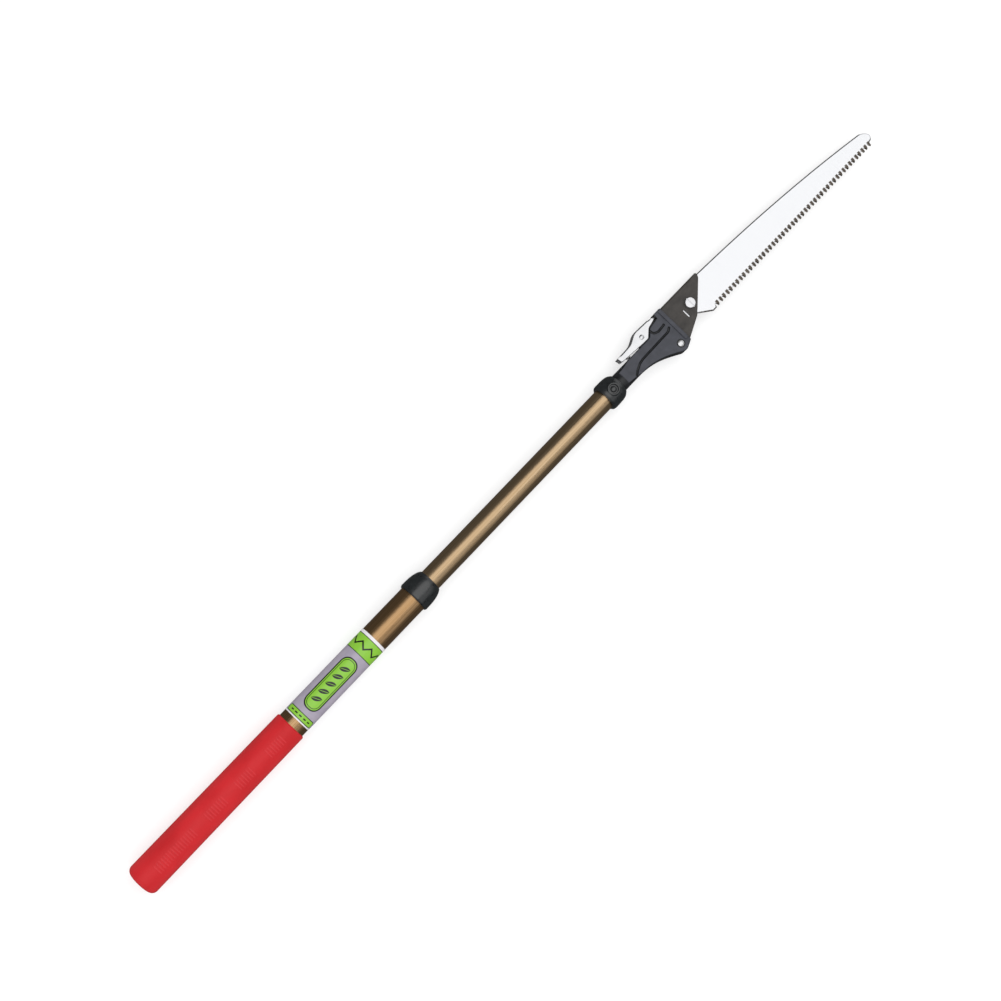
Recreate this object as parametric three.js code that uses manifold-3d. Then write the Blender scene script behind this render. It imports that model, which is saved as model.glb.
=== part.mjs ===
// Telescoping pole saw with a folding blade head, in millimetres.
//
// The saw lies on its side. +X runs along the pole towards the blade's tip, +Y is the side of the blade's
// spine and the lock lever, -Y is the toothed side, and +Z faces up. The origin is the middle of the grip's
// butt face, on the pole's axis.
import * as THREE from 'three';
import { mergeVertices } from 'three/addons/utils/BufferGeometryUtils.js';
import Module from 'manifold-3d';

const wasm = await Module();
wasm.setup();

// ---------------------------------------------------------------------------------------------------------
// Driving dimensions
// ---------------------------------------------------------------------------------------------------------
const OUTER_R = 14; // outer tube, outside radius
const OUTER_WALL = 1;
const INNER_R = 11; // inner tube, outside radius
const INNER_WALL = 1.3;
const GRIP_LENGTH = 187;
const GRIP_R = 16.25; // grip near the butt
const LABEL = { start: 194.2, end: 293.8, thickness: 0.16 };
const MOUTH_X = 368.6; // front lip of the pole collar
const TRAVEL_IN = 236; // how far the inner tube pushes in from the drawn position
const SOCKET_X = 609.8; // rear edge of the head collar
const SOCKET_LENGTH = 20.6;
const NECK_R = 9.5; // round neck of the head casting
const CHEEK_Z = 6.9; // half thickness of the head casting, across its flats
const SLOT_Z = 3.9; // half width of the slot that takes the blade holder
const PIVOT = { x: 702.4, y: -16.4, lobe: 8.2, shaft: 2.5 };
const HEAD_FRONT_X = 713.2;
const SPINE_Y = 21.4; // folded edge of the blade holder
const HOLDER_SHEET = 1.6;
const HOLDER_Z = 2.6; // half width across the folded holder
const BLADE_Z = 0.7; // half thickness of the blade
const BOLT = { x: 739.9, y: 4.3, shank: 3, head: 5.5 };
const BLADE_TIP_X = 1004.6;
const TEETH = { start: 758.5, pitch: 5, count: 48, tipY: -17.7, depth: 3.9 };
const LEVER_PIN = { x: 679.8, y: 15, shaft: 2 };
const LEVER_SHEET = 1.4;
const LEVER_Z = 5.4; // half width across the lever's cheeks
const LUG_Z = 3.6; // half width of the casting's lug inside the lever
const BUTTON = { x: SOCKET_X + SOCKET_LENGTH / 2, radius: 2.9, top: 14.6 };
const ROUND = 36; // facets round the tubes
const HIDDEN_ROUND = 24; // facets round what is inside them, and round the fasteners
const CLEAR = 0.3; // gap between neighbours that touch
const SLIP = 0.12; // gap of a sliding or turning fit

const OUTER_BORE = OUTER_R - OUTER_WALL;
const INNER_BORE = INNER_R - INNER_WALL;
const OUTER_END_X = MOUTH_X - 5; // front end of the outer tube, inside its collar
const PLUG_FRONT_X = 17; // front end of the butt plug
const LOCK_REAR_X = PLUG_FRONT_X + TRAVEL_IN + 0.5; // rear end of the twist lock when drawn out
const INNER_REAR_X = LOCK_REAR_X + 31;

// ---------------------------------------------------------------------------------------------------------
// Materials
// ---------------------------------------------------------------------------------------------------------
function finish(color, roughness, metalness) {
  return new THREE.MeshStandardMaterial({ color, roughness, metalness });
}

const RED_GRIP = finish(0xcf3430, 0.55, 0);
const BRONZE = finish(0xb08a5c, 0.35, 1);
const BLACK_NYLON = finish(0x24282a, 0.4, 0);
const LABEL_FILM = finish(0xb9aebe, 0.4, 0);
const GREY_CAST = finish(0x4c4f57, 0.5, 0.1);
const HOLDER_COAT = finish(0x4a4542, 0.5, 0.2);
const BLADE_STEEL = finish(0xe6e8ec, 0.25, 1);
const PLATED = finish(0xd8dadf, 0.25, 1);
const SPRING_STEEL = finish(0x9a9ca0, 0.35, 1);
const WHITE_NYLON = finish(0xd9d6cc, 0.5, 0);

// ---------------------------------------------------------------------------------------------------------
// Solids
// ---------------------------------------------------------------------------------------------------------
function signedVolume(vertices, triangles) {
  const corner = [new THREE.Vector3(), new THREE.Vector3(), new THREE.Vector3()];
  let sum = 0;
  for (let i = 0; i < triangles.length; i += 3) {
    corner.forEach((point, k) => point.fromArray(vertices, 3 * triangles[i + k]));
    sum += corner[0].dot(corner[1].cross(corner[2])) / 6;
  }
  return sum;
}

// Turns a closed three.js geometry into a solid: shared vertices merged, flat slivers dropped, faces out.
function solid(geometry) {
  geometry.deleteAttribute('normal');
  geometry.deleteAttribute('uv');
  const merged = mergeVertices(geometry, 1e-4);
  const vertices = Float32Array.from(merged.attributes.position.array);
  const triangles = [];
  for (let i = 0; i < merged.index.count; i += 3) {
    const [a, b, c] = [0, 1, 2].map((k) => merged.index.getX(i + k));
    if (a !== b && b !== c && c !== a) triangles.push(a, b, c);
  }
  if (signedVolume(vertices, triangles) < 0) triangles.reverse();
  const triVerts = Uint32Array.from(triangles);
  return new wasm.Manifold(new wasm.Mesh({ numProp: 3, vertProperties: vertices, triVerts }));
}

function geometryOf(body) {
  const mesh = body.getMesh();
  const geometry = new THREE.BufferGeometry();
  geometry.setAttribute('position', new THREE.BufferAttribute(mesh.vertProperties, 3));
  geometry.setIndex(new THREE.BufferAttribute(mesh.triVerts, 1));
  geometry.computeVertexNormals();
  return geometry;
}

// A piece turned about the X axis from a closed profile of [x, radius].
function turned(profile, segments = ROUND) {
  const loop = [...profile, profile[0]].map(([x, radius]) => new THREE.Vector2(radius, x));
  return solid(new THREE.LatheGeometry(loop, segments).rotateZ(-Math.PI / 2));
}

function tube(start, end, outside, inside, segments = ROUND) {
  return turned([[start, outside], [end, outside], [end, inside], [start, inside]], segments);
}

// A flat outline in XY carried from z = low to z = high, with its edges eased by edge.
function plate(shape, low, high, edge = 0) {
  const geometry = new THREE.ExtrudeGeometry(shape, {
    depth: high - low - 2 * edge,
    bevelEnabled: edge > 0,
    bevelThickness: edge,
    bevelSize: edge,
    bevelOffset: -edge,
    bevelSegments: 1,
    curveSegments: 6,
  });
  return solid(geometry.translate(0, 0, low + edge));
}

// A round piece along Z from a closed profile of [radius, z], centred on [x, y].
function post(x, y, profile, segments = HIDDEN_ROUND) {
  const loop = [...profile, profile[0]].map(([radius, z]) => new THREE.Vector2(radius, z));
  return solid(new THREE.LatheGeometry(loop, segments).rotateX(Math.PI / 2).translate(x, y, 0));
}

function disc(x, y, radius, low, high, segments = HIDDEN_ROUND) {
  return post(x, y, [[0, low], [radius, low], [radius, high], [0, high]], segments);
}

function ring(x, y, outside, inside, low, high) {
  return post(x, y, [[inside, low], [outside, low], [outside, high], [inside, high]]);
}

function block([x0, x1], [y0, y1], [z0, z1]) {
  const geometry = new THREE.BoxGeometry(x1 - x0, y1 - y0, z1 - z0);
  return solid(geometry.translate((x0 + x1) / 2, (y0 + y1) / 2, (z0 + z1) / 2));
}

function polygon(points) {
  return new THREE.Shape(points.map(([x, y]) => new THREE.Vector2(x, y)));
}

// A wound spring: its wire's centre runs turns times round a helix of the given radius along +Z.
class Helix extends THREE.Curve {
  constructor(radius, height, turns) {
    super();
    Object.assign(this, { radius, height, turns });
  }

  getPoint(t, target = new THREE.Vector3()) {
    const angle = 2 * Math.PI * this.turns * t;
    return target.set(this.radius * Math.cos(angle), this.radius * Math.sin(angle), this.height * t);
  }
}

function coilSpring(radius, wire, height, turns) {
  const section = new THREE.Shape().absarc(0, 0, wire, 0, 2 * Math.PI);
  const extrudePath = new Helix(radius, height - 2 * wire, turns);
  const steps = Math.round(turns * 10);
  return new THREE.ExtrudeGeometry(section, { steps, bevelEnabled: false, extrudePath, curveSegments: 3 })
    .translate(0, 0, wire);
}

// ---------------------------------------------------------------------------------------------------------
// The saw
// ---------------------------------------------------------------------------------------------------------
const saw = new THREE.Group();

function add(name, material, body) {
  const mesh = new THREE.Mesh(geometryOf(body), material);
  mesh.name = name;
  saw.add(mesh);
}

// Outer pole ----------------------------------------------------------------------------------------------
function gripSleeve() {
  const round = 4; // rounding of the butt's corner
  const top = GRIP_R - 0.45; // the sleeve tapers a little towards its open end
  const corner = [0, 1, 2, 3, 4].map((i) => {
    const angle = (i / 4) * (Math.PI / 2);
    return [round * (1 - Math.sin(angle)), GRIP_R - round * (1 - Math.cos(angle))];
  });
  return turned([
    [0, 0],
    ...corner.reverse(),
    [GRIP_LENGTH - 1.2, top],
    [GRIP_LENGTH, top - 0.8],
    [GRIP_LENGTH, OUTER_R + SLIP],
    [3, OUTER_R + SLIP],
    [3, 0],
  ]);
}

function tubeEndPlug() {
  const rear = 3 + CLEAR;
  const flange = rear + 1.8;
  return turned([
    [rear, 0],
    [rear, OUTER_R],
    [flange, OUTER_R],
    [flange, OUTER_BORE - SLIP],
    [PLUG_FRONT_X, OUTER_BORE - SLIP],
    [PLUG_FRONT_X, OUTER_BORE - 2.5],
    [flange + 1.5, OUTER_BORE - 2.5],
    [flange + 1.5, 0],
  ], HIDDEN_ROUND);
}

// The collar clips over the tube's mouth: a barrel with its widest point near the rear edge.
function poleCollar() {
  const rear = MOUTH_X - 23.1;
  return turned([
    [rear, OUTER_R + SLIP],
    [rear, 14.9],
    [rear + 1.4, 16],
    [rear + 8.5, 15.95],
    [rear + 15, 15.2],
    [rear + 20, 13.8],
    [MOUTH_X, 12.2],
    [MOUTH_X, INNER_R + 2 * SLIP],
    [OUTER_END_X + CLEAR, INNER_R + 2 * SLIP],
    [OUTER_END_X + CLEAR, OUTER_R + SLIP],
  ]);
}

add('grip_sleeve', RED_GRIP, gripSleeve());
add('tube_end_plug', BLACK_NYLON, tubeEndPlug());
add('outer_tube', BRONZE, tube(3 + 2 * CLEAR + 1.8, OUTER_END_X, OUTER_R, OUTER_BORE));
const labelInner = OUTER_R + 0.05;
add('label_wrap', LABEL_FILM, tube(LABEL.start, LABEL.end, labelInner + LABEL.thickness, labelInner));
add('pole_collar', BLACK_NYLON, poleCollar());
add('guide_bush', WHITE_NYLON, tube(OUTER_END_X - 26, OUTER_END_X, OUTER_BORE - SLIP, INNER_R + SLIP));

// Twist lock ----------------------------------------------------------------------------------------------
// The inner tube carries a screw. Turning the tube draws the cone on the screw into the split sleeve, and
// the sleeve spreads against the outer tube's bore.
const SCREW_R = 3;
const SLEEVE = { rear: LOCK_REAR_X + 6.5, front: INNER_REAR_X - 3.5 };
const CONE = { rear: LOCK_REAR_X + 4.3, front: SLEEVE.front - 6 };
const TAPER = 0.16; // radius gained for each millimetre along the cone
const coneRadius = (x) => 7.2 + TAPER * (CONE.front - x);

function expanderSleeve() {
  const wallGap = 0.45; // between the cone and the sleeve's tapered bore
  const taperFront = CONE.front + 1.2;
  const body = turned([
    [SLEEVE.rear, coneRadius(SLEEVE.rear) + wallGap],
    [SLEEVE.rear, OUTER_BORE - SLIP],
    [SLEEVE.front, OUTER_BORE - SLIP],
    [SLEEVE.front, SCREW_R + CLEAR],
    [taperFront, SCREW_R + CLEAR],
    [taperFront, coneRadius(taperFront) + wallGap],
  ], HIDDEN_ROUND);
  const slit = block([SLEEVE.rear - 1, SLEEVE.front - 5], [-0.7, 0.7], [4, OUTER_R]);
  return [90, 210, 330].reduce((split, angle) => split.subtract(slit.rotate([angle, 0, 0])), body);
}

function expanderCone() {
  return turned([
    [CONE.rear, SCREW_R + CLEAR],
    [CONE.rear, coneRadius(CONE.rear)],
    [CONE.front, coneRadius(CONE.front)],
    [CONE.front, SCREW_R + CLEAR],
  ], HIDDEN_ROUND);
}

function innerEndPlug() {
  const flangeRear = INNER_REAR_X - 3;
  return turned([
    [flangeRear, SCREW_R + SLIP],
    [flangeRear, INNER_R - CLEAR],
    [INNER_REAR_X - CLEAR, INNER_R - CLEAR],
    [INNER_REAR_X - CLEAR, INNER_BORE - SLIP],
    [INNER_REAR_X + 15, INNER_BORE - SLIP],
    [INNER_REAR_X + 15, SCREW_R + SLIP],
  ], HIDDEN_ROUND);
}

add('expander_sleeve', WHITE_NYLON, expanderSleeve());
add('expander_cone', PLATED, expanderCone());
add('inner_end_plug', BLACK_NYLON, innerEndPlug());
add('lock_screw', SPRING_STEEL, turned([
  [LOCK_REAR_X, 0],
  [LOCK_REAR_X + 0.4, SCREW_R],
  [INNER_REAR_X + 14, SCREW_R],
  [INNER_REAR_X + 14, 0],
], HIDDEN_ROUND));
const clipRear = LOCK_REAR_X + 1.4;
add('screw_clip', SPRING_STEEL, tube(clipRear, clipRear + 1.2, 5.2, SCREW_R + SLIP, HIDDEN_ROUND));

// Inner tube and head collar ------------------------------------------------------------------------------
const BUTTON_HOLE_R = BUTTON.radius + CLEAR;
const BOSS = { radius: 6.4, dish: 4.3, top: 15.1, floor: 13.1 }; // raised ring round the button, and its dish
const SOCKET_END_X = SOCKET_X + SOCKET_LENGTH;
const INNER_END_X = SOCKET_END_X - 3;

function innerTube() {
  const hole = disc(BUTTON.x, 0, BUTTON_HOLE_R, 0, OUTER_R);
  return tube(INNER_REAR_X, INNER_END_X, INNER_R, INNER_BORE).subtract(hole);
}

function headCollar() {
  const barrel = turned([
    [SOCKET_X, INNER_R + SLIP],
    [SOCKET_X, 12.9],
    [SOCKET_X + 1.8, 14.2],
    [SOCKET_X + 11, 14.25],
    [SOCKET_X + 17, 13.5],
    [SOCKET_END_X, 11.1],
    [SOCKET_END_X, NECK_R + CLEAR],
    [INNER_END_X + CLEAR, NECK_R + CLEAR],
    [INNER_END_X + CLEAR, INNER_R + SLIP],
  ]);
  const boss = post(BUTTON.x, 0, [
    [0, 12.2],
    [BOSS.radius, 12.2],
    [BOSS.radius, BOSS.top - 0.5],
    [BOSS.radius - 0.5, BOSS.top],
    [BOSS.dish + 0.6, BOSS.top],
    [BOSS.dish + 0.6, BOSS.floor],
    [0, BOSS.floor],
  ]);
  const dish = disc(BUTTON.x, 0, BOSS.dish, BOSS.floor, OUTER_R + 4);
  const hole = disc(BUTTON.x, 0, BUTTON_HOLE_R, 0, OUTER_R + 4);
  return barrel.add(boss).subtract(dish).subtract(hole);
}

add('inner_tube', BRONZE, innerTube());
add('head_collar', BLACK_NYLON, headCollar());

// Spring button -------------------------------------------------------------------------------------------
const BUTTON_FLANGE = { radius: 3.8, low: 6.4, high: 8.4 };
const BUTTON_POCKET = { radius: 4.2, floor: -5 };

add('snap_button', BLACK_NYLON, post(BUTTON.x, 0, [
  [0, BUTTON_FLANGE.low],
  [BUTTON_FLANGE.radius, BUTTON_FLANGE.low],
  [BUTTON_FLANGE.radius, BUTTON_FLANGE.high],
  [BUTTON.radius, BUTTON_FLANGE.high],
  [BUTTON.radius, BUTTON.top - 1.2],
  [BUTTON.radius * 0.75, BUTTON.top - 0.45],
  [0, BUTTON.top],
]));
const buttonSpringHeight = BUTTON_FLANGE.low - BUTTON_POCKET.floor - 2 * CLEAR;
add('button_spring', SPRING_STEEL, solid(coilSpring(3, 0.4, buttonSpringHeight, 5)
  .translate(BUTTON.x, 0, BUTTON_POCKET.floor + CLEAR)));

// Head casting --------------------------------------------------------------------------------------------
const HOLDER_REAR = { x: 706.6, y: 15 }; // where the holder's rear edge turns straight up to its spine
const HEAD_FACE_X = SOCKET_END_X + 6.4; // where the neck ends and the flat faces start
const HORN = { rear: 705.3, top: 22.2 }; // the corner where the front bead rises to the holder's spine
const LUG_FRONT_X = HORN.rear - CLEAR; // front end of the lug between the lever's cheeks

// The lower edge sweeps from the stem to the lobe, and meets it on a tangent.
function castingOutline() {
  const start = HEAD_FACE_X;
  const lobe = PIVOT.lobe;
  const tangent = (degrees) => {
    const angle = THREE.MathUtils.degToRad(degrees);
    return [PIVOT.x + lobe * Math.cos(angle), PIVOT.y + lobe * Math.sin(angle)];
  };
  const [sweepX, sweepY] = tangent(-120);
  const [slopeX, slopeY] = tangent(-66);
  const shape = new THREE.Shape();
  shape.moveTo(start, -NECK_R + 0.1);
  shape.lineTo(650, -NECK_R + 0.1);
  shape.bezierCurveTo(669, -NECK_R + 0.1, sweepX - 19, sweepY + 11, sweepX, sweepY);
  shape.absarc(PIVOT.x, PIVOT.y, lobe, THREE.MathUtils.degToRad(-120), THREE.MathUtils.degToRad(-66));
  shape.lineTo(HEAD_FRONT_X, slopeY + (HEAD_FRONT_X - slopeX) * 0.45);
  shape.lineTo(HEAD_FRONT_X, HORN.top - 1);
  shape.lineTo(HEAD_FRONT_X - 1, HORN.top);
  shape.lineTo(HORN.rear + 1, HORN.top);
  shape.lineTo(HORN.rear, HORN.top - 1);
  shape.lineTo(HORN.rear, 16.8);
  shape.lineTo(693.5, 15.5);
  shape.quadraticCurveTo(690.8, 15.2, 689, 13.8);
  shape.lineTo(685.4, 10.8);
  shape.quadraticCurveTo(683.5, 9.2, 681.5, 9.1);
  shape.lineTo(676, 9.3);
  shape.lineTo(start, NECK_R - 0.1);
  return shape;
}

// A groove sunk into the casting's flat face along a path, with round ends.
function groove(points, width, depth) {
  let cut = null;
  const low = CHEEK_Z - depth;
  points.forEach(([x, y], i) => {
    const dot = disc(x, y, width / 2, low, CHEEK_Z + 2, 12);
    cut = cut ? cut.add(dot) : dot;
    if (i === 0) return;
    const [px, py] = points[i - 1];
    const length = Math.hypot(x - px, y - py);
    const turn = THREE.MathUtils.radToDeg(Math.atan2(y - py, x - px));
    const bar = block([0, length], [-width / 2, width / 2], [low, CHEEK_Z + 2]).rotate([0, 0, turn]);
    cut = cut.add(bar.translate([px, py, 0]));
  });
  return cut;
}

const LONG_GROOVE = [[648.5, -6.6], [652.3, -3.6], [658.5, -0.4], [664, 0.6], [702.5, 1.2], [705.5, 3]];
const SHORT_GROOVE = [[694.6, 9.6], [697.6, 8], [704.4, 8.1]];

// The holder sits between two cheeks. The slot's rear wall follows the holder's rear edge, and from beside
// the pivot it slopes down to the rear, clear of the holder's lower edge when the blade is folded.
function holderSlot() {
  const front = HEAD_FRONT_X + 20;
  const outline = polygon([
    [front, -60], [front, 40], [700, 40], [700, 17.2], [HOLDER_REAR.x - 0.7, 17.2],
    [HOLDER_REAR.x - 0.7, HOLDER_REAR.y], [694.9, -11.2], [685, -16.6], [674, -23], [674, -60],
  ]);
  return plate(outline, -SLOT_Z, SLOT_Z);
}

function headCasting() {
  const spigotRear = SOCKET_X - 22;
  const spigot = turned([
    [spigotRear, 0], [spigotRear, NECK_R - 1], [spigotRear + 1, NECK_R - SLIP],
    [INNER_END_X, NECK_R - SLIP], [INNER_END_X, NECK_R], [HEAD_FACE_X, NECK_R], [HEAD_FACE_X, 0],
  ]);
  // The stem grows from the round neck into the square-edged head.
  const growth = turned([
    [SOCKET_END_X, 0], [SOCKET_END_X, NECK_R], [HEAD_FACE_X, NECK_R], [664, 12.4], [664, 60],
    [HEAD_FRONT_X + 10, 60], [HEAD_FRONT_X + 10, 0],
  ]);
  const head = plate(castingOutline(), -CHEEK_Z, CHEEK_Z, 1.2).intersect(growth);
  const bead = plate(polygon([
    [HEAD_FRONT_X - 4.6, -17.5], [HEAD_FRONT_X - 0.4, -17.5],
    [HEAD_FRONT_X - 0.4, SPINE_Y], [HEAD_FRONT_X - 4.6, SPINE_Y],
  ]), -CHEEK_Z - 1.1, CHEEK_Z + 1.1, 0.6);
  const lug = plate(polygon([
    [671, 5], [673, 12], [676, 16.5], [678, 18.8], [681.6, 18.8], [685, 17.3],
    [LUG_FRONT_X, 17.3], [LUG_FRONT_X, 5],
  ]), -LUG_Z, LUG_Z);
  const pocket = disc(BUTTON.x, 0, BUTTON_POCKET.radius, BUTTON_POCKET.floor, OUTER_R);
  const springSeat = block([653.9, 660.1], [7.6, 12], [-3.1, 3.1]);
  let body = spigot.add(head).add(bead).add(lug);
  body = body.subtract(pocket).subtract(springSeat).subtract(holderSlot());
  body = body.subtract(disc(PIVOT.x, PIVOT.y, PIVOT.shaft + SLIP, -20, 20));
  body = body.subtract(disc(LEVER_PIN.x, LEVER_PIN.y, LEVER_PIN.shaft + SLIP, -20, 20));
  for (const path of [LONG_GROOVE, SHORT_GROOVE]) {
    const cut = groove(path, 2, 1.2);
    body = body.subtract(cut).subtract(cut.mirror([0, 0, 1]));
  }
  return body;
}

add('head_casting', GREY_CAST, headCasting());

// Pivot ---------------------------------------------------------------------------------------------------
function rivet(at, shaft, head, inner, height) {
  return post(at.x, at.y, [
    [0, -inner - height], [head * 0.7, -inner - height], [head, -inner - height * 0.4], [head, -inner],
    [shaft, -inner], [shaft, inner],
    [head, inner], [head, inner + height * 0.4], [head * 0.7, inner + height], [0, inner + height],
  ]);
}

add('pivot_rivet', PLATED, rivet(PIVOT, PIVOT.shaft, 3.1, CHEEK_Z + 0.1, 0.9));
const washerInner = HOLDER_Z + 0.15;
const washerOuter = SLOT_Z - 0.15;
for (const [name, low, high] of [
  ['pivot_washer_front', washerInner, washerOuter],
  ['pivot_washer_rear', -washerOuter, -washerInner],
]) {
  add(name, WHITE_NYLON, ring(PIVOT.x, PIVOT.y, 6.5, PIVOT.shaft + SLIP, low, high));
}

// Blade holder --------------------------------------------------------------------------------------------
const HOLDER_GAP_Z = HOLDER_Z - HOLDER_SHEET; // half of the gap between the holder's cheeks

function holderOutline() {
  const lobe = PIVOT.lobe - 0.3;
  const shape = new THREE.Shape();
  shape.moveTo(HOLDER_REAR.x, SPINE_Y);
  shape.lineTo(765.6, SPINE_Y);
  shape.quadraticCurveTo(767.8, SPINE_Y, 767.2, 19.6);
  shape.lineTo(765.6, 16);
  shape.lineTo(741, -5.4);
  shape.quadraticCurveTo(738.8, -8, 736.4, -9.2);
  shape.absarc(PIVOT.x, PIVOT.y, lobe, THREE.MathUtils.degToRad(-66), THREE.MathUtils.degToRad(158), true);
  shape.lineTo(HOLDER_REAR.x, HOLDER_REAR.y);
  return shape;
}

function bladeHolder() {
  const inside = block([690, 780], [-40, SPINE_Y - HOLDER_SHEET], [-HOLDER_GAP_Z, HOLDER_GAP_Z]);
  const slot = block([-0.85, 0.85], [-3.4, 3.4], [-10, 10]);
  const slotEnds = disc(0, 3.4, 0.85, -10, 10, 12).add(disc(0, -3.4, 0.85, -10, 10, 12));
  return plate(holderOutline(), -HOLDER_Z, HOLDER_Z, 0.5)
    .subtract(inside)
    .subtract(disc(PIVOT.x, PIVOT.y, PIVOT.shaft + SLIP, -10, 10))
    .subtract(disc(BOLT.x, BOLT.y, BOLT.shank + CLEAR, -10, 10))
    .subtract(slot.add(slotEnds).rotate([0, 0, 8]).translate([730.4, -0.4, 0]));
}

add('blade_holder', HOLDER_COAT, bladeHolder());
const spacerZ = HOLDER_GAP_Z - 0.1;
add('pivot_spacer', SPRING_STEEL, ring(PIVOT.x, PIVOT.y, 5, PIVOT.shaft + SLIP, -spacerZ, spacerZ));

// Blade ---------------------------------------------------------------------------------------------------
// The spine is a long shallow arc that droops to the tip, and the toothed edge is straight.
function bladeOutline() {
  const spineY = SPINE_Y - HOLDER_SHEET - CLEAR;
  const teethEnd = TEETH.start + TEETH.pitch * TEETH.count;
  const valleyY = TEETH.tipY + TEETH.depth;
  const shape = new THREE.Shape();
  shape.moveTo(717, -6);
  shape.lineTo(736.5, -6.6);
  shape.lineTo(752.4, TEETH.tipY);
  shape.lineTo(TEETH.start - 1, TEETH.tipY);
  for (let i = 0; i < TEETH.count; i += 1) {
    const x = TEETH.start + TEETH.pitch * i;
    shape.lineTo(x, valleyY);
    shape.lineTo(x + 1.1, valleyY);
    shape.lineTo(x + 2.5, TEETH.tipY);
    shape.lineTo(x + 3.9, TEETH.tipY + 0.7);
  }
  shape.lineTo(teethEnd, valleyY);
  shape.quadraticCurveTo(BLADE_TIP_X - 1, valleyY, BLADE_TIP_X, -8.6);
  shape.quadraticCurveTo(BLADE_TIP_X - 1.5, -3.6, 996, -0.6);
  shape.quadraticCurveTo(890, spineY - 4.5, 768, spineY);
  shape.lineTo(717, spineY);
  return shape;
}

add('blade', BLADE_STEEL, plate(bladeOutline(), -BLADE_Z, BLADE_Z)
  .subtract(disc(BOLT.x, BOLT.y, BOLT.shank + CLEAR, -10, 10)));

const boltSeat = HOLDER_Z + CLEAR / 2;
add('blade_bolt', PLATED, post(BOLT.x, BOLT.y, [
  [0, -boltSeat - 7.6], [BOLT.shank - 0.5, -boltSeat - 7.6], [BOLT.shank, -boltSeat - 7.1],
  [BOLT.shank, boltSeat], [BOLT.head, boltSeat], [BOLT.head, boltSeat + 1.1],
  [BOLT.head * 0.85, boltSeat + 2.1], [BOLT.head * 0.5, boltSeat + 2.8], [0, boltSeat + 3],
]));
add('bolt_washer', PLATED, ring(BOLT.x, BOLT.y, 6, BOLT.shank + CLEAR, -boltSeat - 1.2, -boltSeat));
const nutSection = new THREE.Shape();
for (let i = 0; i < 6; i += 1) {
  const angle = (i * Math.PI) / 3;
  const corner = [BOLT.x + 5.8 * Math.cos(angle), BOLT.y + 5.8 * Math.sin(angle)];
  if (i === 0) nutSection.moveTo(...corner);
  else nutSection.lineTo(...corner);
}
add('blade_nut', PLATED, plate(nutSection, -boltSeat - 6.4, -boltSeat - 1.4)
  .subtract(disc(BOLT.x, BOLT.y, BOLT.shank + SLIP, -20, 0)));

// Lock lever ----------------------------------------------------------------------------------------------
// A pressed channel that straddles the casting's lug, with its thumb end towards the grip.
function leverOutline() {
  const shape = new THREE.Shape();
  shape.moveTo(647.2, 17.2);
  shape.lineTo(665, 17.9);
  shape.quadraticCurveTo(669.5, 18.2, 673, 20.2);
  shape.quadraticCurveTo(678, 23.3, 684, 23.2);
  shape.lineTo(694.8, 22.6);
  shape.lineTo(704.2, 21.3);
  shape.lineTo(704.2, 17.6);
  shape.lineTo(694.4, 16.4);
  shape.quadraticCurveTo(690.5, 15.8, 688.4, 14.2);
  shape.lineTo(684.6, 10.9);
  shape.quadraticCurveTo(683.2, 9.8, 681.4, 9.8);
  shape.lineTo(676.6, 9.8);
  shape.lineTo(664, 10.7);
  shape.lineTo(650.1, 11.7);
  shape.lineTo(648, 14.4);
  return shape;
}

function lockLever() {
  const hollowTop = polygon([
    [640, 0], [640, 15.9], [665, 16.5], [669, 16.9], [672.5, 18.8], [678.5, 21.7], [684, 21.8],
    [694.6, 21.2], [701, 20.3], [701, 0],
  ]);
  const inner = LEVER_Z - LEVER_SHEET;
  const tongue = block([698, 705.6], [17.8, 20.8], [-2.6, 2.6]);
  return plate(leverOutline(), -LEVER_Z, LEVER_Z, 0.5)
    .subtract(plate(hollowTop, -inner, inner))
    .add(tongue)
    .subtract(disc(LEVER_PIN.x, LEVER_PIN.y, LEVER_PIN.shaft + SLIP, -10, 10));
}

add('lock_lever', PLATED, lockLever());
add('lever_pin', PLATED, rivet(LEVER_PIN, LEVER_PIN.shaft, 2.5, LEVER_Z + 0.15, 0.9));
const leverSpringHeight = 15.7 - 7.6 - CLEAR;
add('lever_spring', SPRING_STEEL, solid(coilSpring(2.3, 0.4, leverSpringHeight, 4)
  .rotateX(-Math.PI / 2).translate(657, 7.6 + CLEAR / 2, 0)));

export default saw;
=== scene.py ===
"""The looks of a telescoping pole saw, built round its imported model. Lengths are in metres.

The saw lies on its side: +X runs along the pole to the blade's tip, +Y is the side of the blade's spine
and the lock lever, and +Z faces up. Sizes that a maker would write in millimetres carry the factor MM.
"""
import math

import bmesh
import bpy
import numpy as np
from mathutils import Matrix, Vector


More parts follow.
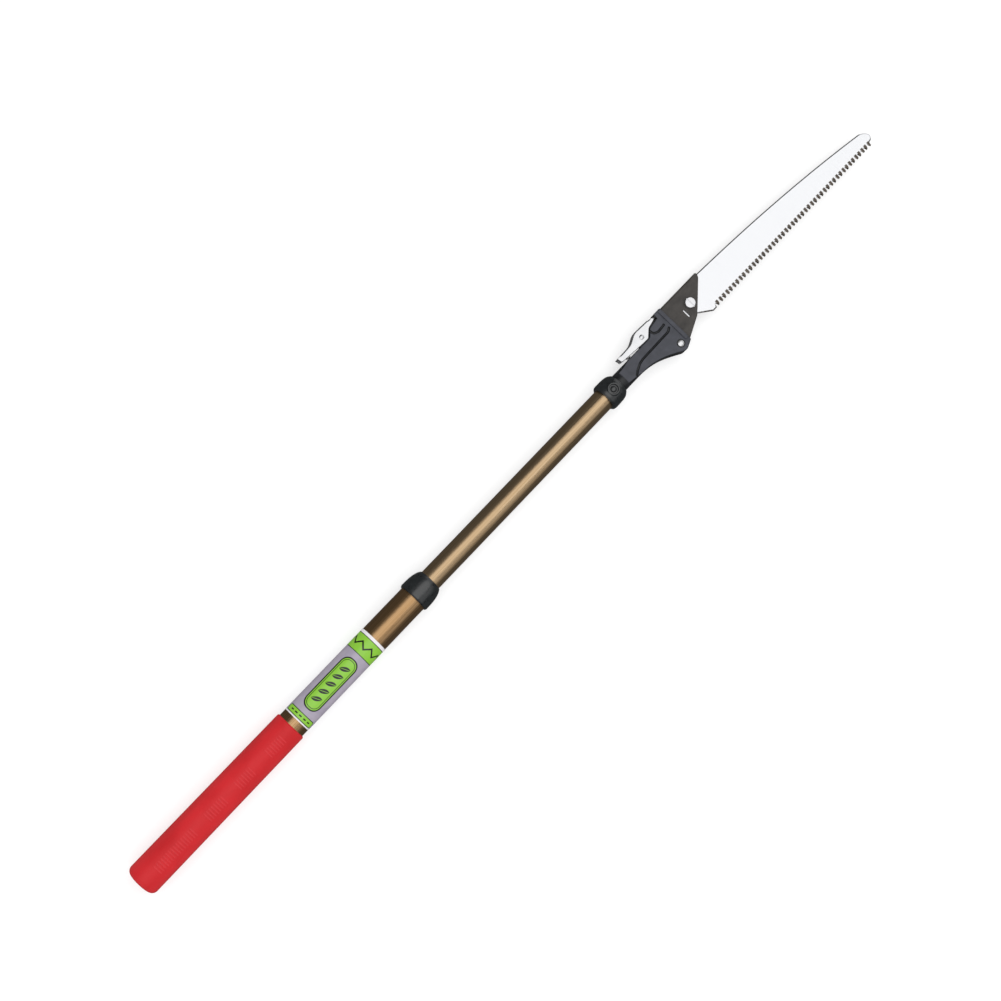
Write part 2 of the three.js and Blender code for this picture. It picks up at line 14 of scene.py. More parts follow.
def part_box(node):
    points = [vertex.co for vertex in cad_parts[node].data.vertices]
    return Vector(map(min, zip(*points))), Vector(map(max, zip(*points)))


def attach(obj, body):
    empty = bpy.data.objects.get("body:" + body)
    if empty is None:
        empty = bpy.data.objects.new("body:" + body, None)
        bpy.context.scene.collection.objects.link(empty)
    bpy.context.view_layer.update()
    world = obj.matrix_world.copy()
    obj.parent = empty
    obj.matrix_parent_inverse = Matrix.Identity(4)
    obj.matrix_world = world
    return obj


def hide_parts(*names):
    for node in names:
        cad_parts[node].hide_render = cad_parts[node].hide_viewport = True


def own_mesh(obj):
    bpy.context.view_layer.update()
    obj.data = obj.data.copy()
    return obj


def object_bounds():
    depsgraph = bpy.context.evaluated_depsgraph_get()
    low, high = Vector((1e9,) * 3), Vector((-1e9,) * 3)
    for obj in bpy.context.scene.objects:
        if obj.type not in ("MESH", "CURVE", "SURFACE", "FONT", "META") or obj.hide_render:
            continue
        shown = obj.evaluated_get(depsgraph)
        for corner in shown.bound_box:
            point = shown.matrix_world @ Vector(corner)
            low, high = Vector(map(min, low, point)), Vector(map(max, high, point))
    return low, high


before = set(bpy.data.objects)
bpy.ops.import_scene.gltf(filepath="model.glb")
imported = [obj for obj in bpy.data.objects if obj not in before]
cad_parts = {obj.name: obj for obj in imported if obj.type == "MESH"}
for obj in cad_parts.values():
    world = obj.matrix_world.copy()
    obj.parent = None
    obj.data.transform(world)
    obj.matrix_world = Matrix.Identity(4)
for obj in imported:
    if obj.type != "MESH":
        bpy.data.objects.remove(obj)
cad_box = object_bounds()

MM = 0.001
TAU = 2 * math.pi

# --------------------------------------------------------------------------------------------------------
# Places and sizes, read from the imported model's pieces or given
# --------------------------------------------------------------------------------------------------------
def middle(node_name):
    low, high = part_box(node_name)
    return (low + high) / 2


def half_size(node_name):
    low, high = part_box(node_name)
    return (high - low) / 2


REST_Z = cad_box[0].z  # lowest point, where the floor is
GRIP_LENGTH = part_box("grip_sleeve")[1].x
GRIP_R = half_size("grip_sleeve").z
OUTER_R = half_size("outer_tube").z
INNER_R = half_size("inner_tube").z
TIP_X = cad_box[1].x
PIVOT = middle("pivot_rivet")
BOLT = middle("blade_bolt")
LEVER_PIN = middle("lever_pin")
BUTTON = middle("snap_button")
BUTTON_R = 2.9 * MM
BUTTON_HOLE_R = BUTTON_R + 0.3 * MM
MOUTH_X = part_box("pole_collar")[1].x
SOCKET_LOW, SOCKET_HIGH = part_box("head_collar")
HEAD_FRONT_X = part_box("head_casting")[1].x
NECK_R = 9.5 * MM
CHEEK_Z = 6.9 * MM  # half thickness of the casting across its flats
SLOT_Z = 3.9 * MM
LUG_Z = 3.6 * MM
HOLDER_Z = half_size("blade_holder").z
HOLDER_SHEET = 1.6 * MM
SPINE_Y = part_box("blade_holder")[1].y
BLADE_Z = half_size("blade").z
RIVET_R = 2.5 * MM  # shanks
PIN_R = 2 * MM
BOLT_R = 3 * MM
BOLT_HOLE_R = 3.3 * MM
SNUG = 0.12 * MM  # gap left round a piece that fits closely
FAR = 20 * MM  # further up or down than any piece reaches


# --------------------------------------------------------------------------------------------------------
# Camera, light and floor
# --------------------------------------------------------------------------------------------------------
def place(obj, eye, right, up):
    """Puts obj at eye, looking away from right x up."""
    back = right.cross(up)
    obj.matrix_world = Matrix.Translation(eye) @ Matrix((right, up, back)).transposed().to_4x4()


def add_camera():
    """Looks down on the saw's flat side, with the blade's end tipped away and the pole rising to the
    right."""
    tip = math.asin(0.189)
    rise = math.radians(46.175)
    centre = Vector((469 * MM, 4.2 * MM, 0))
    distance = 1.3066
    along = Vector((math.cos(tip), 0, math.sin(tip)))
    across = Vector((0, 1, 0))
    right = along * math.cos(rise) - across * math.sin(rise)
    up = along * math.sin(rise) + across * math.cos(rise)
    data = bpy.data.cameras.new("camera")
    data.lens = 50
    data.sensor_width = 36
    camera = bpy.data.objects.new("camera", data)
    bpy.context.scene.collection.objects.link(camera)
    place(camera, centre + right.cross(up) * distance, right, up)
    bpy.context.scene.camera = camera


def add_panel(name, centre, look, size, power):
    """A soft rectangular lamp at centre, facing the point look, its first side along the pole."""
    data = bpy.data.lights.new(name, "AREA")
    data.shape = "RECTANGLE"
    data.size, data.size_y = size
    data.energy = power
    lamp = bpy.data.objects.new(name, data)
    bpy.context.scene.collection.objects.link(lamp)
    back = (Vector(centre) - Vector(look)).normalized()
    up = back.cross(Vector((1, 0, 0))).normalized()
    place(lamp, Vector(centre), up.cross(back), up)
    lamp.visible_camera = False


def add_world():
    """Even pale air all round. Polished surfaces mirror it much dimmer, as they would dark studio walls."""
    world = bpy.data.worlds.new("air")
    world.use_nodes = True
    tree = world.node_tree
    mirrored = node(tree, "LightPath").node.outputs["Is Glossy Ray"]
    strength = node(tree, "MapRange", {"Value": mirrored, "To Min": 0.74, "To Max": 0.09})
    background = tree.nodes["Background"]
    background.inputs["Color"].default_value = (1, 1, 1, 1)
    tree.links.new(strength, background.inputs["Strength"])
    bpy.context.scene.world = world


def add_floor():
    """A square sheet at the saw's lowest point, with its middle under the saw's."""
    half_side = 6.0
    middle_x = 0.5
    corner = [(-1, -1), (1, -1), (1, 1), (-1, 1)]
    mesh = bpy.data.meshes.new("floor")
    points = [(middle_x + x * half_side, y * half_side, REST_Z) for x, y in corner]
    mesh.from_pydata(points, [], [(0, 1, 2, 3)])
    floor = bpy.data.objects.new("floor", mesh)
    bpy.context.scene.collection.objects.link(floor)
    floor.data.materials.append(white_floor())
    floor.visible_glossy = False


# --------------------------------------------------------------------------------------------------------
# Materials
# --------------------------------------------------------------------------------------------------------
def srgb(code):
    """Turns an sRGB hex colour, such as "c81e2a", to linear light."""
    parts = [int(code[i:i + 2], 16) / 255 for i in (0, 2, 4)]
    return (*[c / 12.92 if c <= 0.04045 else ((c + 0.055) / 1.055) ** 2.4 for c in parts], 1.0)


def node(tree, kind, inputs=(), **settings):
    """Adds one node and returns its first output; its others are reached through that output's node.
    Settings are its own properties. Inputs are its sockets' values, or the outputs to link to them, by name
    or in order."""
    made = tree.nodes.new("ShaderNode" + kind)
    for name, value in settings.items():
        setattr(made, name, value)
    for name, value in inputs.items() if isinstance(inputs, dict) else enumerate(inputs):
        if isinstance(value, bpy.types.NodeSocket):
            tree.links.new(value, made.inputs[name])
        else:
            made.inputs[name].default_value = value
    return made.outputs[0]


def new_material(name, **sockets):
    """A Principled material. Its sockets' names are given in words joined by underscores."""
    material = bpy.data.materials.new(name)
    material.use_nodes = True
    shader = material.node_tree.nodes["Principled BSDF"]
    for key, value in sockets.items():
        shader.inputs[key.replace("_", " ")].default_value = value
    return material, material.node_tree, shader


def stretched_noise(tree, scale, detail=2.0, roughness=0.5):
    """Noise on the piece's own coordinates, with scale the number of cells in a metre along X, Y and Z."""
    own_place = node(tree, "TexCoord").node.outputs["Object"]
    mapped = node(tree, "Mapping", {"Vector": own_place, "Scale": scale})
    return node(tree, "TexNoise", {
        "Vector": mapped, "Scale": 1.0, "Detail": detail, "Roughness": roughness,
    })


NOISE_RANGE = {"From Min": 0.3, "From Max": 0.7}  # where most of a noise lies
# A Mix node's sockets when it mixes colours
SHARE, BELOW, ABOVE, MIXED = 0, 6, 7, 2


def within(tree, distance, low, high, soft=0.12):
    """A mask: 1 where the distance, in mm, lies between low and high, with edges soft mm wide."""
    rise = node(tree, "MapRange", {"Value": distance, "From Min": low - soft, "From Max": low + soft})
    fall = node(tree, "MapRange", {
        "Value": distance, "From Min": high - soft, "From Max": high + soft, "To Min": 1.0, "To Max": 0.0,
    })
    return overlap(tree, rise, fall)


def overlap(tree, mask, *others):
    """A mask of where all the masks are: their product."""
    for other in others:
        mask = node(tree, "Math", (mask, other), operation="MULTIPLY")
    return mask


def mottled(tree, pattern, deep, pale):
    """A colour that wanders with a pattern between two sRGB colours."""
    share = node(tree, "MapRange", {"Value": pattern, **NOISE_RANGE})
    colours = {SHARE: share, BELOW: srgb(deep), ABOVE: srgb(pale)}
    return node(tree, "Mix", colours, data_type="RGBA").node.outputs[MIXED]


def finish(tree, shader, colour=None, gloss=None, relief=None):
    """Works patterns into a shader: a colour, gloss as a pattern and the two roughnesses that it runs
    between, and relief as a pattern with its depth in metres and its strength."""
    if colour:
        tree.links.new(colour, shader.inputs["Base Color"])
    if gloss:
        pattern, smoothest, roughest = gloss
        roughness = node(tree, "MapRange", {
            "Value": pattern, **NOISE_RANGE, "To Min": smoothest, "To Max": roughest,
        })
        tree.links.new(roughness, shader.inputs["Roughness"])
    if relief:
        bump = node(tree, "Bump", dict(zip(("Height", "Distance", "Strength"), relief)))
        tree.links.new(bump, shader.inputs["Normal"])


def white_floor():
    """Matt white sheet, lit from under, so that it takes faint shadows only."""
    return new_material("matt_white_floor", Base_Color=srgb("b2b2b2"), Roughness=0.9, Specular_IOR_Level=0.0,
                        Emission_Color=(1, 1, 1, 1), Emission_Strength=0.56)[0]


def red_elastomer():
    """Moulded thermoplastic elastomer: dull sheen and the fine grain of an etched mould. The ribs' crests are
    painted paler: a painted highlight where light catches them."""
    material, tree, shader = new_material("moulded_red_elastomer", IOR=1.5, Specular_IOR_Level=0.28)
    cloud = stretched_noise(tree, (30, 60, 60), detail=3)
    painted_crest_highlight = node(tree, "Attribute", attribute_name="rib_rise").node.outputs["Fac"]
    # c62c32 is the painted highlight along the ribs' crests.
    colours = {SHARE: painted_crest_highlight, BELOW: mottled(tree, cloud, "b8141b", "c51c23"), ABOVE: srgb("c62c32")}
    colour = node(tree, "Mix", colours, data_type="RGBA").node.outputs[MIXED]
    grain = stretched_noise(tree, (1600, 1600, 1600), detail=2)
    finish(tree, shader, colour, (grain, 0.44, 0.56), (grain, 0.06 * MM, 0.5))
    return material


def anodised(name, deep, pale):
    """Bronze anodised drawn aluminium: a tinted metal with fine die lines along the tube, one in each
    0.9 mm."""
    material, tree, shader = new_material(name, Metallic=1.0)
    lines = stretched_noise(tree, (5, 1100, 1100), detail=4, roughness=0.65)
    finish(tree, shader, mottled(tree, lines, deep, pale), (lines, 0.26, 0.38), (lines, 0.03 * MM, 0.6))
    return material


def black_nylon():
    """Moulded glass-filled nylon: near black with a cold cast, satin, faintly mottled."""
    material, tree, shader = new_material("moulded_black_nylon", IOR=1.53, Specular_IOR_Level=1.0)
    mottle = stretched_noise(tree, (260, 260, 260), detail=4)
    grain = stretched_noise(tree, (2500, 2500, 2500))
    finish(tree, shader, mottled(tree, mottle, "0f1315", "191e20"), (mottle, 0.25, 0.36),
           (grain, 0.02 * MM, 0.5))
    return material


def natural_nylon():
    """Unpigmented nylon: milky, satin."""
    material, tree, shader = new_material("natural_nylon", Roughness=0.5, IOR=1.53)
    mottle = stretched_noise(tree, (200, 200, 200), detail=3)
    finish(tree, shader, mottled(tree, mottle, "d2cdbf", "dfdbd0"))
    return material


def cast_paint():
    """Die-cast body under dark grey enamel: a satin skin that keeps the casting's slight orange peel."""
    material, tree, shader = new_material("dark_grey_enamel_on_casting", IOR=1.5)
    cloud = stretched_noise(tree, (120, 120, 120), detail=4)
    peel = stretched_noise(tree, (900, 900, 900), detail=3)
    finish(tree, shader, mottled(tree, cloud, "30323a", "3b3d46"), (peel, 0.36, 0.5), (peel, 0.04 * MM, 0.6))
    return material


def black_enamel():
    """The casting's own finish below its grey faces: black baked enamel, satin. In the face grooves and the
    pivot recess its black is painted shade.
    """
    material, tree, shader = new_material("black_enamel_on_casting", IOR=1.5)
    cloud = stretched_noise(tree, (150, 150, 150), detail=4)
    peel = stretched_noise(tree, (900, 900, 900), detail=3)
    colour = mottled(tree, cloud, "131416", "1f2124")
    finish(tree, shader, colour, (cloud, 0.32, 0.46), (peel, 0.04 * MM, 0.6))
    return material


def holder_paint():
    """Folded sheet steel under a thin brown-black coat, with faint rolling lines."""
    material, tree, shader = new_material("brown_black_coat_on_sheet", IOR=1.5)
    cloud = stretched_noise(tree, (90, 160, 160), detail=5)
    grain = stretched_noise(tree, (500, 1500, 1500), detail=3)
    colour = mottled(tree, cloud, "2c2825", "3d3935")
    finish(tree, shader, colour, (grain, 0.38, 0.54), (grain, 0.03 * MM, 0.5))
    return material


# Toothed edge and sheared heel, in mm
TEETH_START, PITCH, TEETH_COUNT, TIP_Y, ROOT_Y = 758.5, 5, 48, -17.7, -13.8
TEETH_END = TEETH_START + PITCH * TEETH_COUNT
HEEL = ((736.5, -6.6), (752.4, TIP_Y))
HEEL_LENGTH = math.dist(*HEEL)
HEEL_NORMAL = ((HEEL[0][1] - HEEL[1][1]) / HEEL_LENGTH, (HEEL[1][0] - HEEL[0][0]) / HEEL_LENGTH)


def saw_steel():
    """Hard-chromed saw steel: bright and cold, softened by fine grinding lines across the blade. Each tooth,
    and the band just past its root, is painted dark brown: a painted reflection, standing for the dark
    surroundings mirrored in the teeth's ground bevels. A broken line of the same painted reflection runs
    along the sheared heel, for its chamfer."""
    material, tree, shader = new_material("hard_chromed_saw_steel", Metallic=1.0)
    lines = stretched_noise(tree, (2200, 40, 40), detail=3, roughness=0.6)
    own_place = node(tree, "TexCoord").node.outputs["Object"]
    part = node(tree, "SeparateXYZ", (own_place,)).node.outputs
    along = node(tree, "Math", (part["X"], MM), operation="DIVIDE")
    across = node(tree, "Math", (part["Y"], MM), operation="DIVIDE")
    middle_of_tooth = TEETH_START + 3.0
    from_middle = node(tree, "Math", (along, middle_of_tooth), operation="SUBTRACT")
    phase = node(tree, "Math", (from_middle, PITCH / 2, -PITCH / 2), operation="WRAP")
    # Stripes of painted dark reflection, one on each tooth and just past its root.
    painted_tooth_reflection = overlap(tree, within(tree, phase, -1.55, 1.45, 0.2),
                   within(tree, across, TIP_Y - 3, ROOT_Y + 1.6, 0.35),
                   within(tree, along, TEETH_START, TEETH_END))
    heel_at = HEEL[0][0] * HEEL_NORMAL[0] + HEEL[0][1] * HEEL_NORMAL[1]
    from_heel = node(tree, "Math", (along, HEEL_NORMAL[0], -heel_at), operation="MULTIPLY_ADD")
    from_heel = node(tree, "Math", (across, HEEL_NORMAL[1], from_heel), operation="MULTIPLY_ADD")
    # A broken band along the sheared heel and the toe before the first tooth: painted dark reflection of the
    # heel's chamfer.
    heel = overlap(tree, within(tree, from_heel, -2, 1.3, 0.25), within(tree, along, HEEL[0][0], HEEL[1][0]))
    toe = overlap(tree, within(tree, across, TIP_Y - 3, TIP_Y + 1.2),
                  within(tree, along, HEEL[1][0] - 0.5, TEETH_START))
    sheared = node(tree, "Math", (heel, toe), operation="MAXIMUM")
    patch = stretched_noise(tree, (420, 420, 420), detail=1)
    heel_line_breaks = node(tree, "MapRange", {"Value": patch, **NOISE_RANGE, "To Min": 0.45, "To Max": 1.5})
    painted_heel_reflection = overlap(tree, sheared, heel_line_breaks)
    # Where the blade is painted with the dark reflection, on the teeth and along the heel.
    dark = node(tree, "Math", (painted_tooth_reflection, painted_heel_reflection), operation="MAXIMUM", use_clamp=True)
    bright = mottled(tree, lines, "e6e7ea", "f0f1f3")
    dark_reflection_colour = mottled(tree, lines, "3f3934", "6b635b")
    colours = {SHARE: dark, BELOW: bright, ABOVE: dark_reflection_colour}
    colour = node(tree, "Mix", colours, data_type="RGBA").node.outputs[MIXED]
    finish(tree, shader, colour, (lines, 0.16, 0.26), (lines, 0.01 * MM, 0.4))
    return material


def zinc_plate():
    """Bright zinc plating on pressed steel: silvery white with a soft bloom."""
    material, tree, shader = new_material("bright_zinc_plate", Metallic=1.0)
    bloom = stretched_noise(tree, (160, 160, 160), detail=3)
    finish(tree, shader, mottled(tree, bloom, "dddee0", "ebebed"), (bloom, 0.22, 0.32))
    return material


def spring_wire():
    """Oil-tempered wire and stud steel: mid grey, slightly brown."""
    material, tree, shader = new_material("tempered_spring_steel", Metallic=1.0, Roughness=0.35)
    bloom = stretched_noise(tree, (700, 700, 700), detail=3)
    finish(tree, shader, mottled(tree, bloom, "77746f", "9b9893"))
    return material


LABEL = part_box("label_wrap")
LABEL_R = half_size("label_wrap").z


def rounded_box(tree, along, around, half_along, half_around, radius):
    """The signed distance in mm from a rounded rectangle on the label: the length of what lies past its
    inner box, less the radius."""
    outs = []
    squares = []
    for distance, reach in ((along, half_along), (around, half_around)):
        size = node(tree, "Math", (distance,), operation="ABSOLUTE")
        out = node(tree, "Math", (size, reach - radius), operation="SUBTRACT")
        past = node(tree, "Math", (out, 0.0), operation="MAXIMUM")
        outs.append(out)
        squares.append(node(tree, "Math", (past, past), operation="MULTIPLY"))
    length = node(tree, "Math", (node(tree, "Math", squares, operation="ADD"),), operation="SQRT")
    inside = node(tree, "Math", (node(tree, "Math", outs, operation="MAXIMUM"), 0.0), operation="MINIMUM")
    distance = node(tree, "Math", (length, inside), operation="ADD")
    return node(tree, "Math", (distance, radius), operation="SUBTRACT")


def printed_film():
    """Printed vinyl film: lilac-grey ground, fresh green panels with dark outlines, a row of plain leaves
    and a zigzag, under a clear gloss coat."""
    material, tree, shader = new_material("printed_vinyl_film", Roughness=0.34, IOR=1.5, Coat_Weight=0.35,
                                          Coat_Roughness=0.18)
    green, ink, white = srgb("80bb32"), srgb("12170f"), srgb("dcdade")
    own_place = node(tree, "TexCoord").node.outputs["Object"]
    part = node(tree, "SeparateXYZ", (own_place,)).node.outputs
    from_end = node(tree, "Math", (part["X"], LABEL[0].x), operation="SUBTRACT")
    along = node(tree, "Math", (from_end, MM), operation="DIVIDE")
    angle = node(tree, "Math", (part["Y"], part["Z"]), operation="ARCTAN2")
    around = node(tree, "Math", (angle, LABEL_R / MM), operation="MULTIPLY")
    ground = mottled(tree, stretched_noise(tree, (120, 120, 120), detail=3), "9790a0", "a29aa8")
    everywhere = -90  # mm, further inside than any panel reaches
    # Narrow panel at the grip's end, with a row of dashes.
    from_band = node(tree, "Math", (along, 4.75), operation="SUBTRACT")
    band = rounded_box(tree, from_band, around, 3.4, 17.5, 2.6)
    dash = node(tree, "Math", (around, 2.6, -2.6), operation="WRAP")
    dashes = overlap(tree, within(tree, dash, -1.5, 1.5), within(tree, along, 4.1, 5.4),
                     within(tree, around, -12.8, 12.8))
    # Long panel in the middle, with a row of slanted leaves. A leaf is where the sum of how far along it a
    # point lies, and the square of how far across, is under 1.
    from_panel = node(tree, "Math", (along, 43.4), operation="SUBTRACT")
    panel = rounded_box(tree, from_panel, around, 29.5, 8.8, 8.0)
    slant = node(tree, "Math", (around, 0.45, from_panel), operation="MULTIPLY_ADD")
    leaf_x = node(tree, "Math", (slant, 4.5, -4.5), operation="WRAP")
    leaf_x = node(tree, "Math", (leaf_x, 2.5), operation="DIVIDE")
    leaf_y = node(tree, "Math", (around, 5.1), operation="DIVIDE")
    bow = node(tree, "Math", (leaf_x,), operation="ABSOLUTE")
    bow = node(tree, "Math", (leaf_y, leaf_y, bow), operation="MULTIPLY_ADD")
    row = overlap(tree, within(tree, bow, -9, 1.0, 0.06), within(tree, along, 21.2, 65.6))
    vein = overlap(tree, row, within(tree, leaf_x, -0.09, 0.09, 0.04))
    # Wide band at the collar's end, with a zigzag all round.
    teeth_all_round = 8
    turned_on = node(tree, "Math", (around, 100.0), operation="ADD")
    half_tooth = LABEL_R / MM * TAU / (2 * teeth_all_round)
    zigzag = node(tree, "Math", (turned_on, half_tooth), operation="PINGPONG")
    from_wave = node(tree, "Math", (along, 85.4), operation="SUBTRACT")
    wave = node(tree, "Math", (from_wave, zigzag), operation="SUBTRACT")
    # The layers, in the order that they are printed, the bare white borders last.
    colour = ground
    for mask, layer in (
        (within(tree, band, everywhere, 0.0), green), (within(tree, band, -0.7, 0.0), ink), (dashes, ink),
        (within(tree, panel, everywhere, 0.6), ink), (within(tree, panel, everywhere, -0.7), green),
        (within(tree, panel, -2.3, -1.7), ink), (row, ink), (vein, green),
        (within(tree, along, 79.3, 96.6), green), (within(tree, along, 79.3, 80.0), ink),
        (within(tree, along, 96.0, 96.7), ink), (within(tree, wave, -1.1, 1.1), ink),
        (within(tree, along, -5.0, 1.2), white), (within(tree, along, 96.7, 110.0), white),
    ):
        colours = {SHARE: mask, BELOW: colour, ABOVE: layer}
        colour = node(tree, "Mix", colours, data_type="RGBA").node.outputs[MIXED]
    finish(tree, shader, colour, relief=(stretched_noise(tree, (40, 90, 90), detail=2), 0.05 * MM, 0.5))
    return material


RED_ELASTOMER = red_elastomer()
OUTER_BRONZE = anodised("bronze_anodised_outer", "b0895c", "d6b084")
INNER_BRONZE = anodised("bronze_anodised_inner", "bc9d75", "dcc19d")
BLACK_NYLON = black_nylon()
NATURAL_NYLON = natural_nylon()
CAST_PAINT = cast_paint()
BLACK_ENAMEL = black_enamel()
PRINTED_FILM = printed_film()
HOLDER_PAINT = holder_paint()
SAW_STEEL = saw_steel()
ZINC_PLATE = zinc_plate()
SPRING_WIRE = spring_wire()


# --------------------------------------------------------------------------------------------------------
# Shapes
# --------------------------------------------------------------------------------------------------------
def tidy_mesh(mesh):
    """Merges doubles, drops faces with no area and edges with no face, and points the normals out."""
    work = bmesh.new()
    work.from_mesh(mesh)
    bmesh.ops.remove_doubles(work, verts=work.verts, dist=1e-6)
    bmesh.ops.dissolve_degenerate(work, edges=work.edges, dist=1e-7)
    bmesh.ops.delete(work, geom=[edge for edge in work.edges if edge.is_wire], context="EDGES")
    bmesh.ops.recalc_face_normals(work, faces=work.faces)
    work.to_mesh(mesh)
    work.free()


def shade(mesh, degrees):
    """Shades smooth, with a crease where faces meet at more than so many degrees."""
    work = bmesh.new()
    work.from_mesh(mesh)
    limit = math.radians(degrees)
    for face in work.faces:
        face.smooth = True
    for edge in work.edges:
        edge.smooth = len(edge.link_faces) == 2 and edge.calc_face_angle(0) < limit
    work.to_mesh(mesh)
    work.free()


def ring_faces(rows, columns, closed=True):
    """The faces of a grid of points, row after row, each row a ring. The last row joins the first if closed,
    or else a flat face covers each."""
    r = np.arange(rows if closed else rows - 1)[:, None]
    c = np.arange(columns)
    next_r = (r + 1) % rows
    next_c = (c + 1) % columns
    corners = [r * columns + c, r * columns + next_c, next_r * columns + next_c, next_r * columns + c]
    faces = np.stack(corners, axis=-1).reshape(-1, 4).tolist()
    return faces if closed else faces + [c[::-1].tolist(), (c + (rows - 1) * columns).tolist()]


def rounded(points, radii, steps=6):
    """A closed outline with each corner replaced by an arc that touches both sides, of the radius given."""
    points = np.asarray(points, float)
    radii = np.broadcast_to(radii, len(points))
    out = []
    for i, corner in enumerate(points):
        before, after = points[i - 1], points[(i + 1) % len(points)]
        u, v = before - corner, after - corner
        u_len, v_len = np.linalg.norm(u), np.linalg.norm(v)
        u, v = u / u_len, v / v_len
        half = math.acos(np.clip(u @ v, -1, 1)) / 2
        if radii[i] <= 0 or half > math.radians(89):
            out.append(corner)
            continue
        reach = min(radii[i] / math.tan(half), 0.49 * u_len, 0.49 * v_len)
        radius = reach * math.tan(half)
        centre = corner + (u + v) / np.linalg.norm(u + v) * radius / math.sin(half)
        start, end = corner + u * reach - centre, corner + v * reach - centre
        turn = math.atan2(start[0] * end[1] - start[1] * end[0], start @ end)
        for t in np.linspace(0, 1, steps + 1) * turn:
            spin = np.array([[math.cos(t), -math.sin(t)], [math.sin(t), math.cos(t)]])
            out.append(centre + spin @ start)
    return np.array(out)


def turned(profile, around=120):
    """A closed profile of (x, radius) carried round the X axis: (x, r cos a, r sin a)."""
    x, radius = np.asarray(profile).T
    angle = np.linspace(0, TAU, around, endpoint=False)
    points = np.stack([
        np.broadcast_to(x[:, None], (len(x), around)),
        radius[:, None] * np.cos(angle),
        radius[:, None] * np.sin(angle),
    ], axis=-1)
    return points.reshape(-1, 3), ring_faces(len(x), around)


def post(at, profile, around=64):
    """A closed profile of (radius, z) carried round an upright axis: (x + r cos a, y + r sin a, z)."""
    radius, z = np.asarray(profile).T
    angle = np.linspace(0, TAU, around, endpoint=False)
    points = np.stack([
        at.x + radius[:, None] * np.cos(angle),
        at.y + radius[:, None] * np.sin(angle),
        np.broadcast_to(z[:, None], (len(z), around)),
    ], axis=-1)
    return points.reshape(-1, 3), ring_faces(len(z), around)


def inset(outline, distance):
    """Moves a closed outline inwards by distance, along the mean of its neighbouring sides' normals."""
    side = np.roll(outline, -1, axis=0) - outline
    side /= np.maximum(np.linalg.norm(side, axis=1, keepdims=True), 1e-12)
    normal = np.stack([-side[:, 1], side[:, 0]], axis=1)
    before = np.roll(normal, 1, axis=0)
    mean = normal + before
    mean /= np.maximum(np.linalg.norm(mean, axis=1, keepdims=True), 1e-12)
    widen = np.clip((mean * normal).sum(1, keepdims=True), 0.35, 1)
    x, y = outline.T
    twice_area = np.sum(x * np.roll(y, -1) - y * np.roll(x, -1))
    return outline + mean / widen * distance * (1 if twice_area > 0 else -1)


def plate(outline, low, high, edge, steps=4):
    """A flat outline with thickness: quarter-round edges, of one radius or one for each point, carried along
    the outline, and two flat faces."""
    outline = np.asarray(outline)
    edge = np.broadcast_to(edge, len(outline))[:, None]
    turn = np.linspace(0, math.pi / 2, steps + 1)
    rings = [(edge * (1 - math.cos(t)), low + edge * (1 - math.sin(t))) for t in turn[::-1]]
    rings += [(edge * (1 - math.cos(t)), high - edge * (1 - math.sin(t))) for t in turn]
    points = [np.column_stack([inset(outline, distance), z]) for distance, z in rings]
    return np.concatenate(points), ring_faces(len(rings), len(outline), closed=False)


def through(knots, x):
    """A smooth curve through knots of (x, y): a cubic on each span, with slopes from its neighbours."""
    kx, ky = np.asarray(knots, float).T
    slope = np.gradient(ky, kx)
    i = np.clip(np.searchsorted(kx, x, side="right") - 1, 0, len(kx) - 2)
    width = kx[i + 1] - kx[i]
    t = np.clip((x - kx[i]) / width, 0, 1)
    rise = ky[i] * (1 + 2 * t) * (1 - t) ** 2 + ky[i + 1] * t ** 2 * (3 - 2 * t)
    return rise + width * (slope[i] * t * (1 - t) ** 2 - slope[i + 1] * t ** 2 * (1 - t))


def step(value, low, high):
    """Rises smoothly from 0 at low to 1 at high."""
    t = np.clip((value - low) / (high - low), 0, 1)
    return t * t * (3 - 2 * t)


def arc(centre, radius, start, end, steps):
    """Points on a circle from one angle to another, in degrees."""
    a = np.radians(np.linspace(start, end, steps + 1))
    return np.column_stack([centre[0] + radius * np.cos(a), centre[1] + radius * np.sin(a)])


def bezier(*controls, steps):
    """A curve drawn towards its controls: each stands for the binomial share C(n, k) t^k (1 - t)^(n - k)."""
    t = np.linspace(0, 1, steps + 1)[:, None]
    n = len(controls) - 1
    return sum(math.comb(n, k) * t ** k * (1 - t) ** (n - k) * np.asarray(p) for k, p in enumerate(controls))


def shape(name, points, faces):
    """A closed object of points and faces, not yet a piece, to cut or join."""
    mesh = bpy.data.meshes.new(name)
    mesh.from_pydata(np.asarray(points).tolist(), [], faces)
    tidy_mesh(mesh)
    made = bpy.data.objects.new(name, mesh)
    bpy.context.scene.collection.objects.link(made)
    return made


def combine(target, other, operation="DIFFERENCE"):
    """Cuts other out of target, joins it on, or keeps what both share, and removes other."""
    modifier = target.modifiers.new("combine", "BOOLEAN")
    modifier.operation = operation
    modifier.solver = "EXACT"
    modifier.object = other
    graph = bpy.context.evaluated_depsgraph_get()
    result = bpy.data.meshes.new_from_object(target.evaluated_get(graph))
    target.modifiers.clear()
    target.data = result
    bpy.data.objects.remove(other)


def settle(made, material, body, stands_for, smooth=35):
    """Makes a worked shape into a piece: its material, its body, and the nodes that it stands for."""
    tidy_mesh(made.data)
    shade(made.data, smooth)
    made.data.materials.clear()
    made.data.materials.append(material)
    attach(made, body)
    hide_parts(*stands_for)
    return made


def bore(made, at, radius, low=-FAR, high=FAR):
    """Cuts an upright round hole from one height to another."""
    outline = [(0, low), (radius, low), (radius, high), (0, high)]
    combine(made, shape("bore", *post(at, outline, 48)))


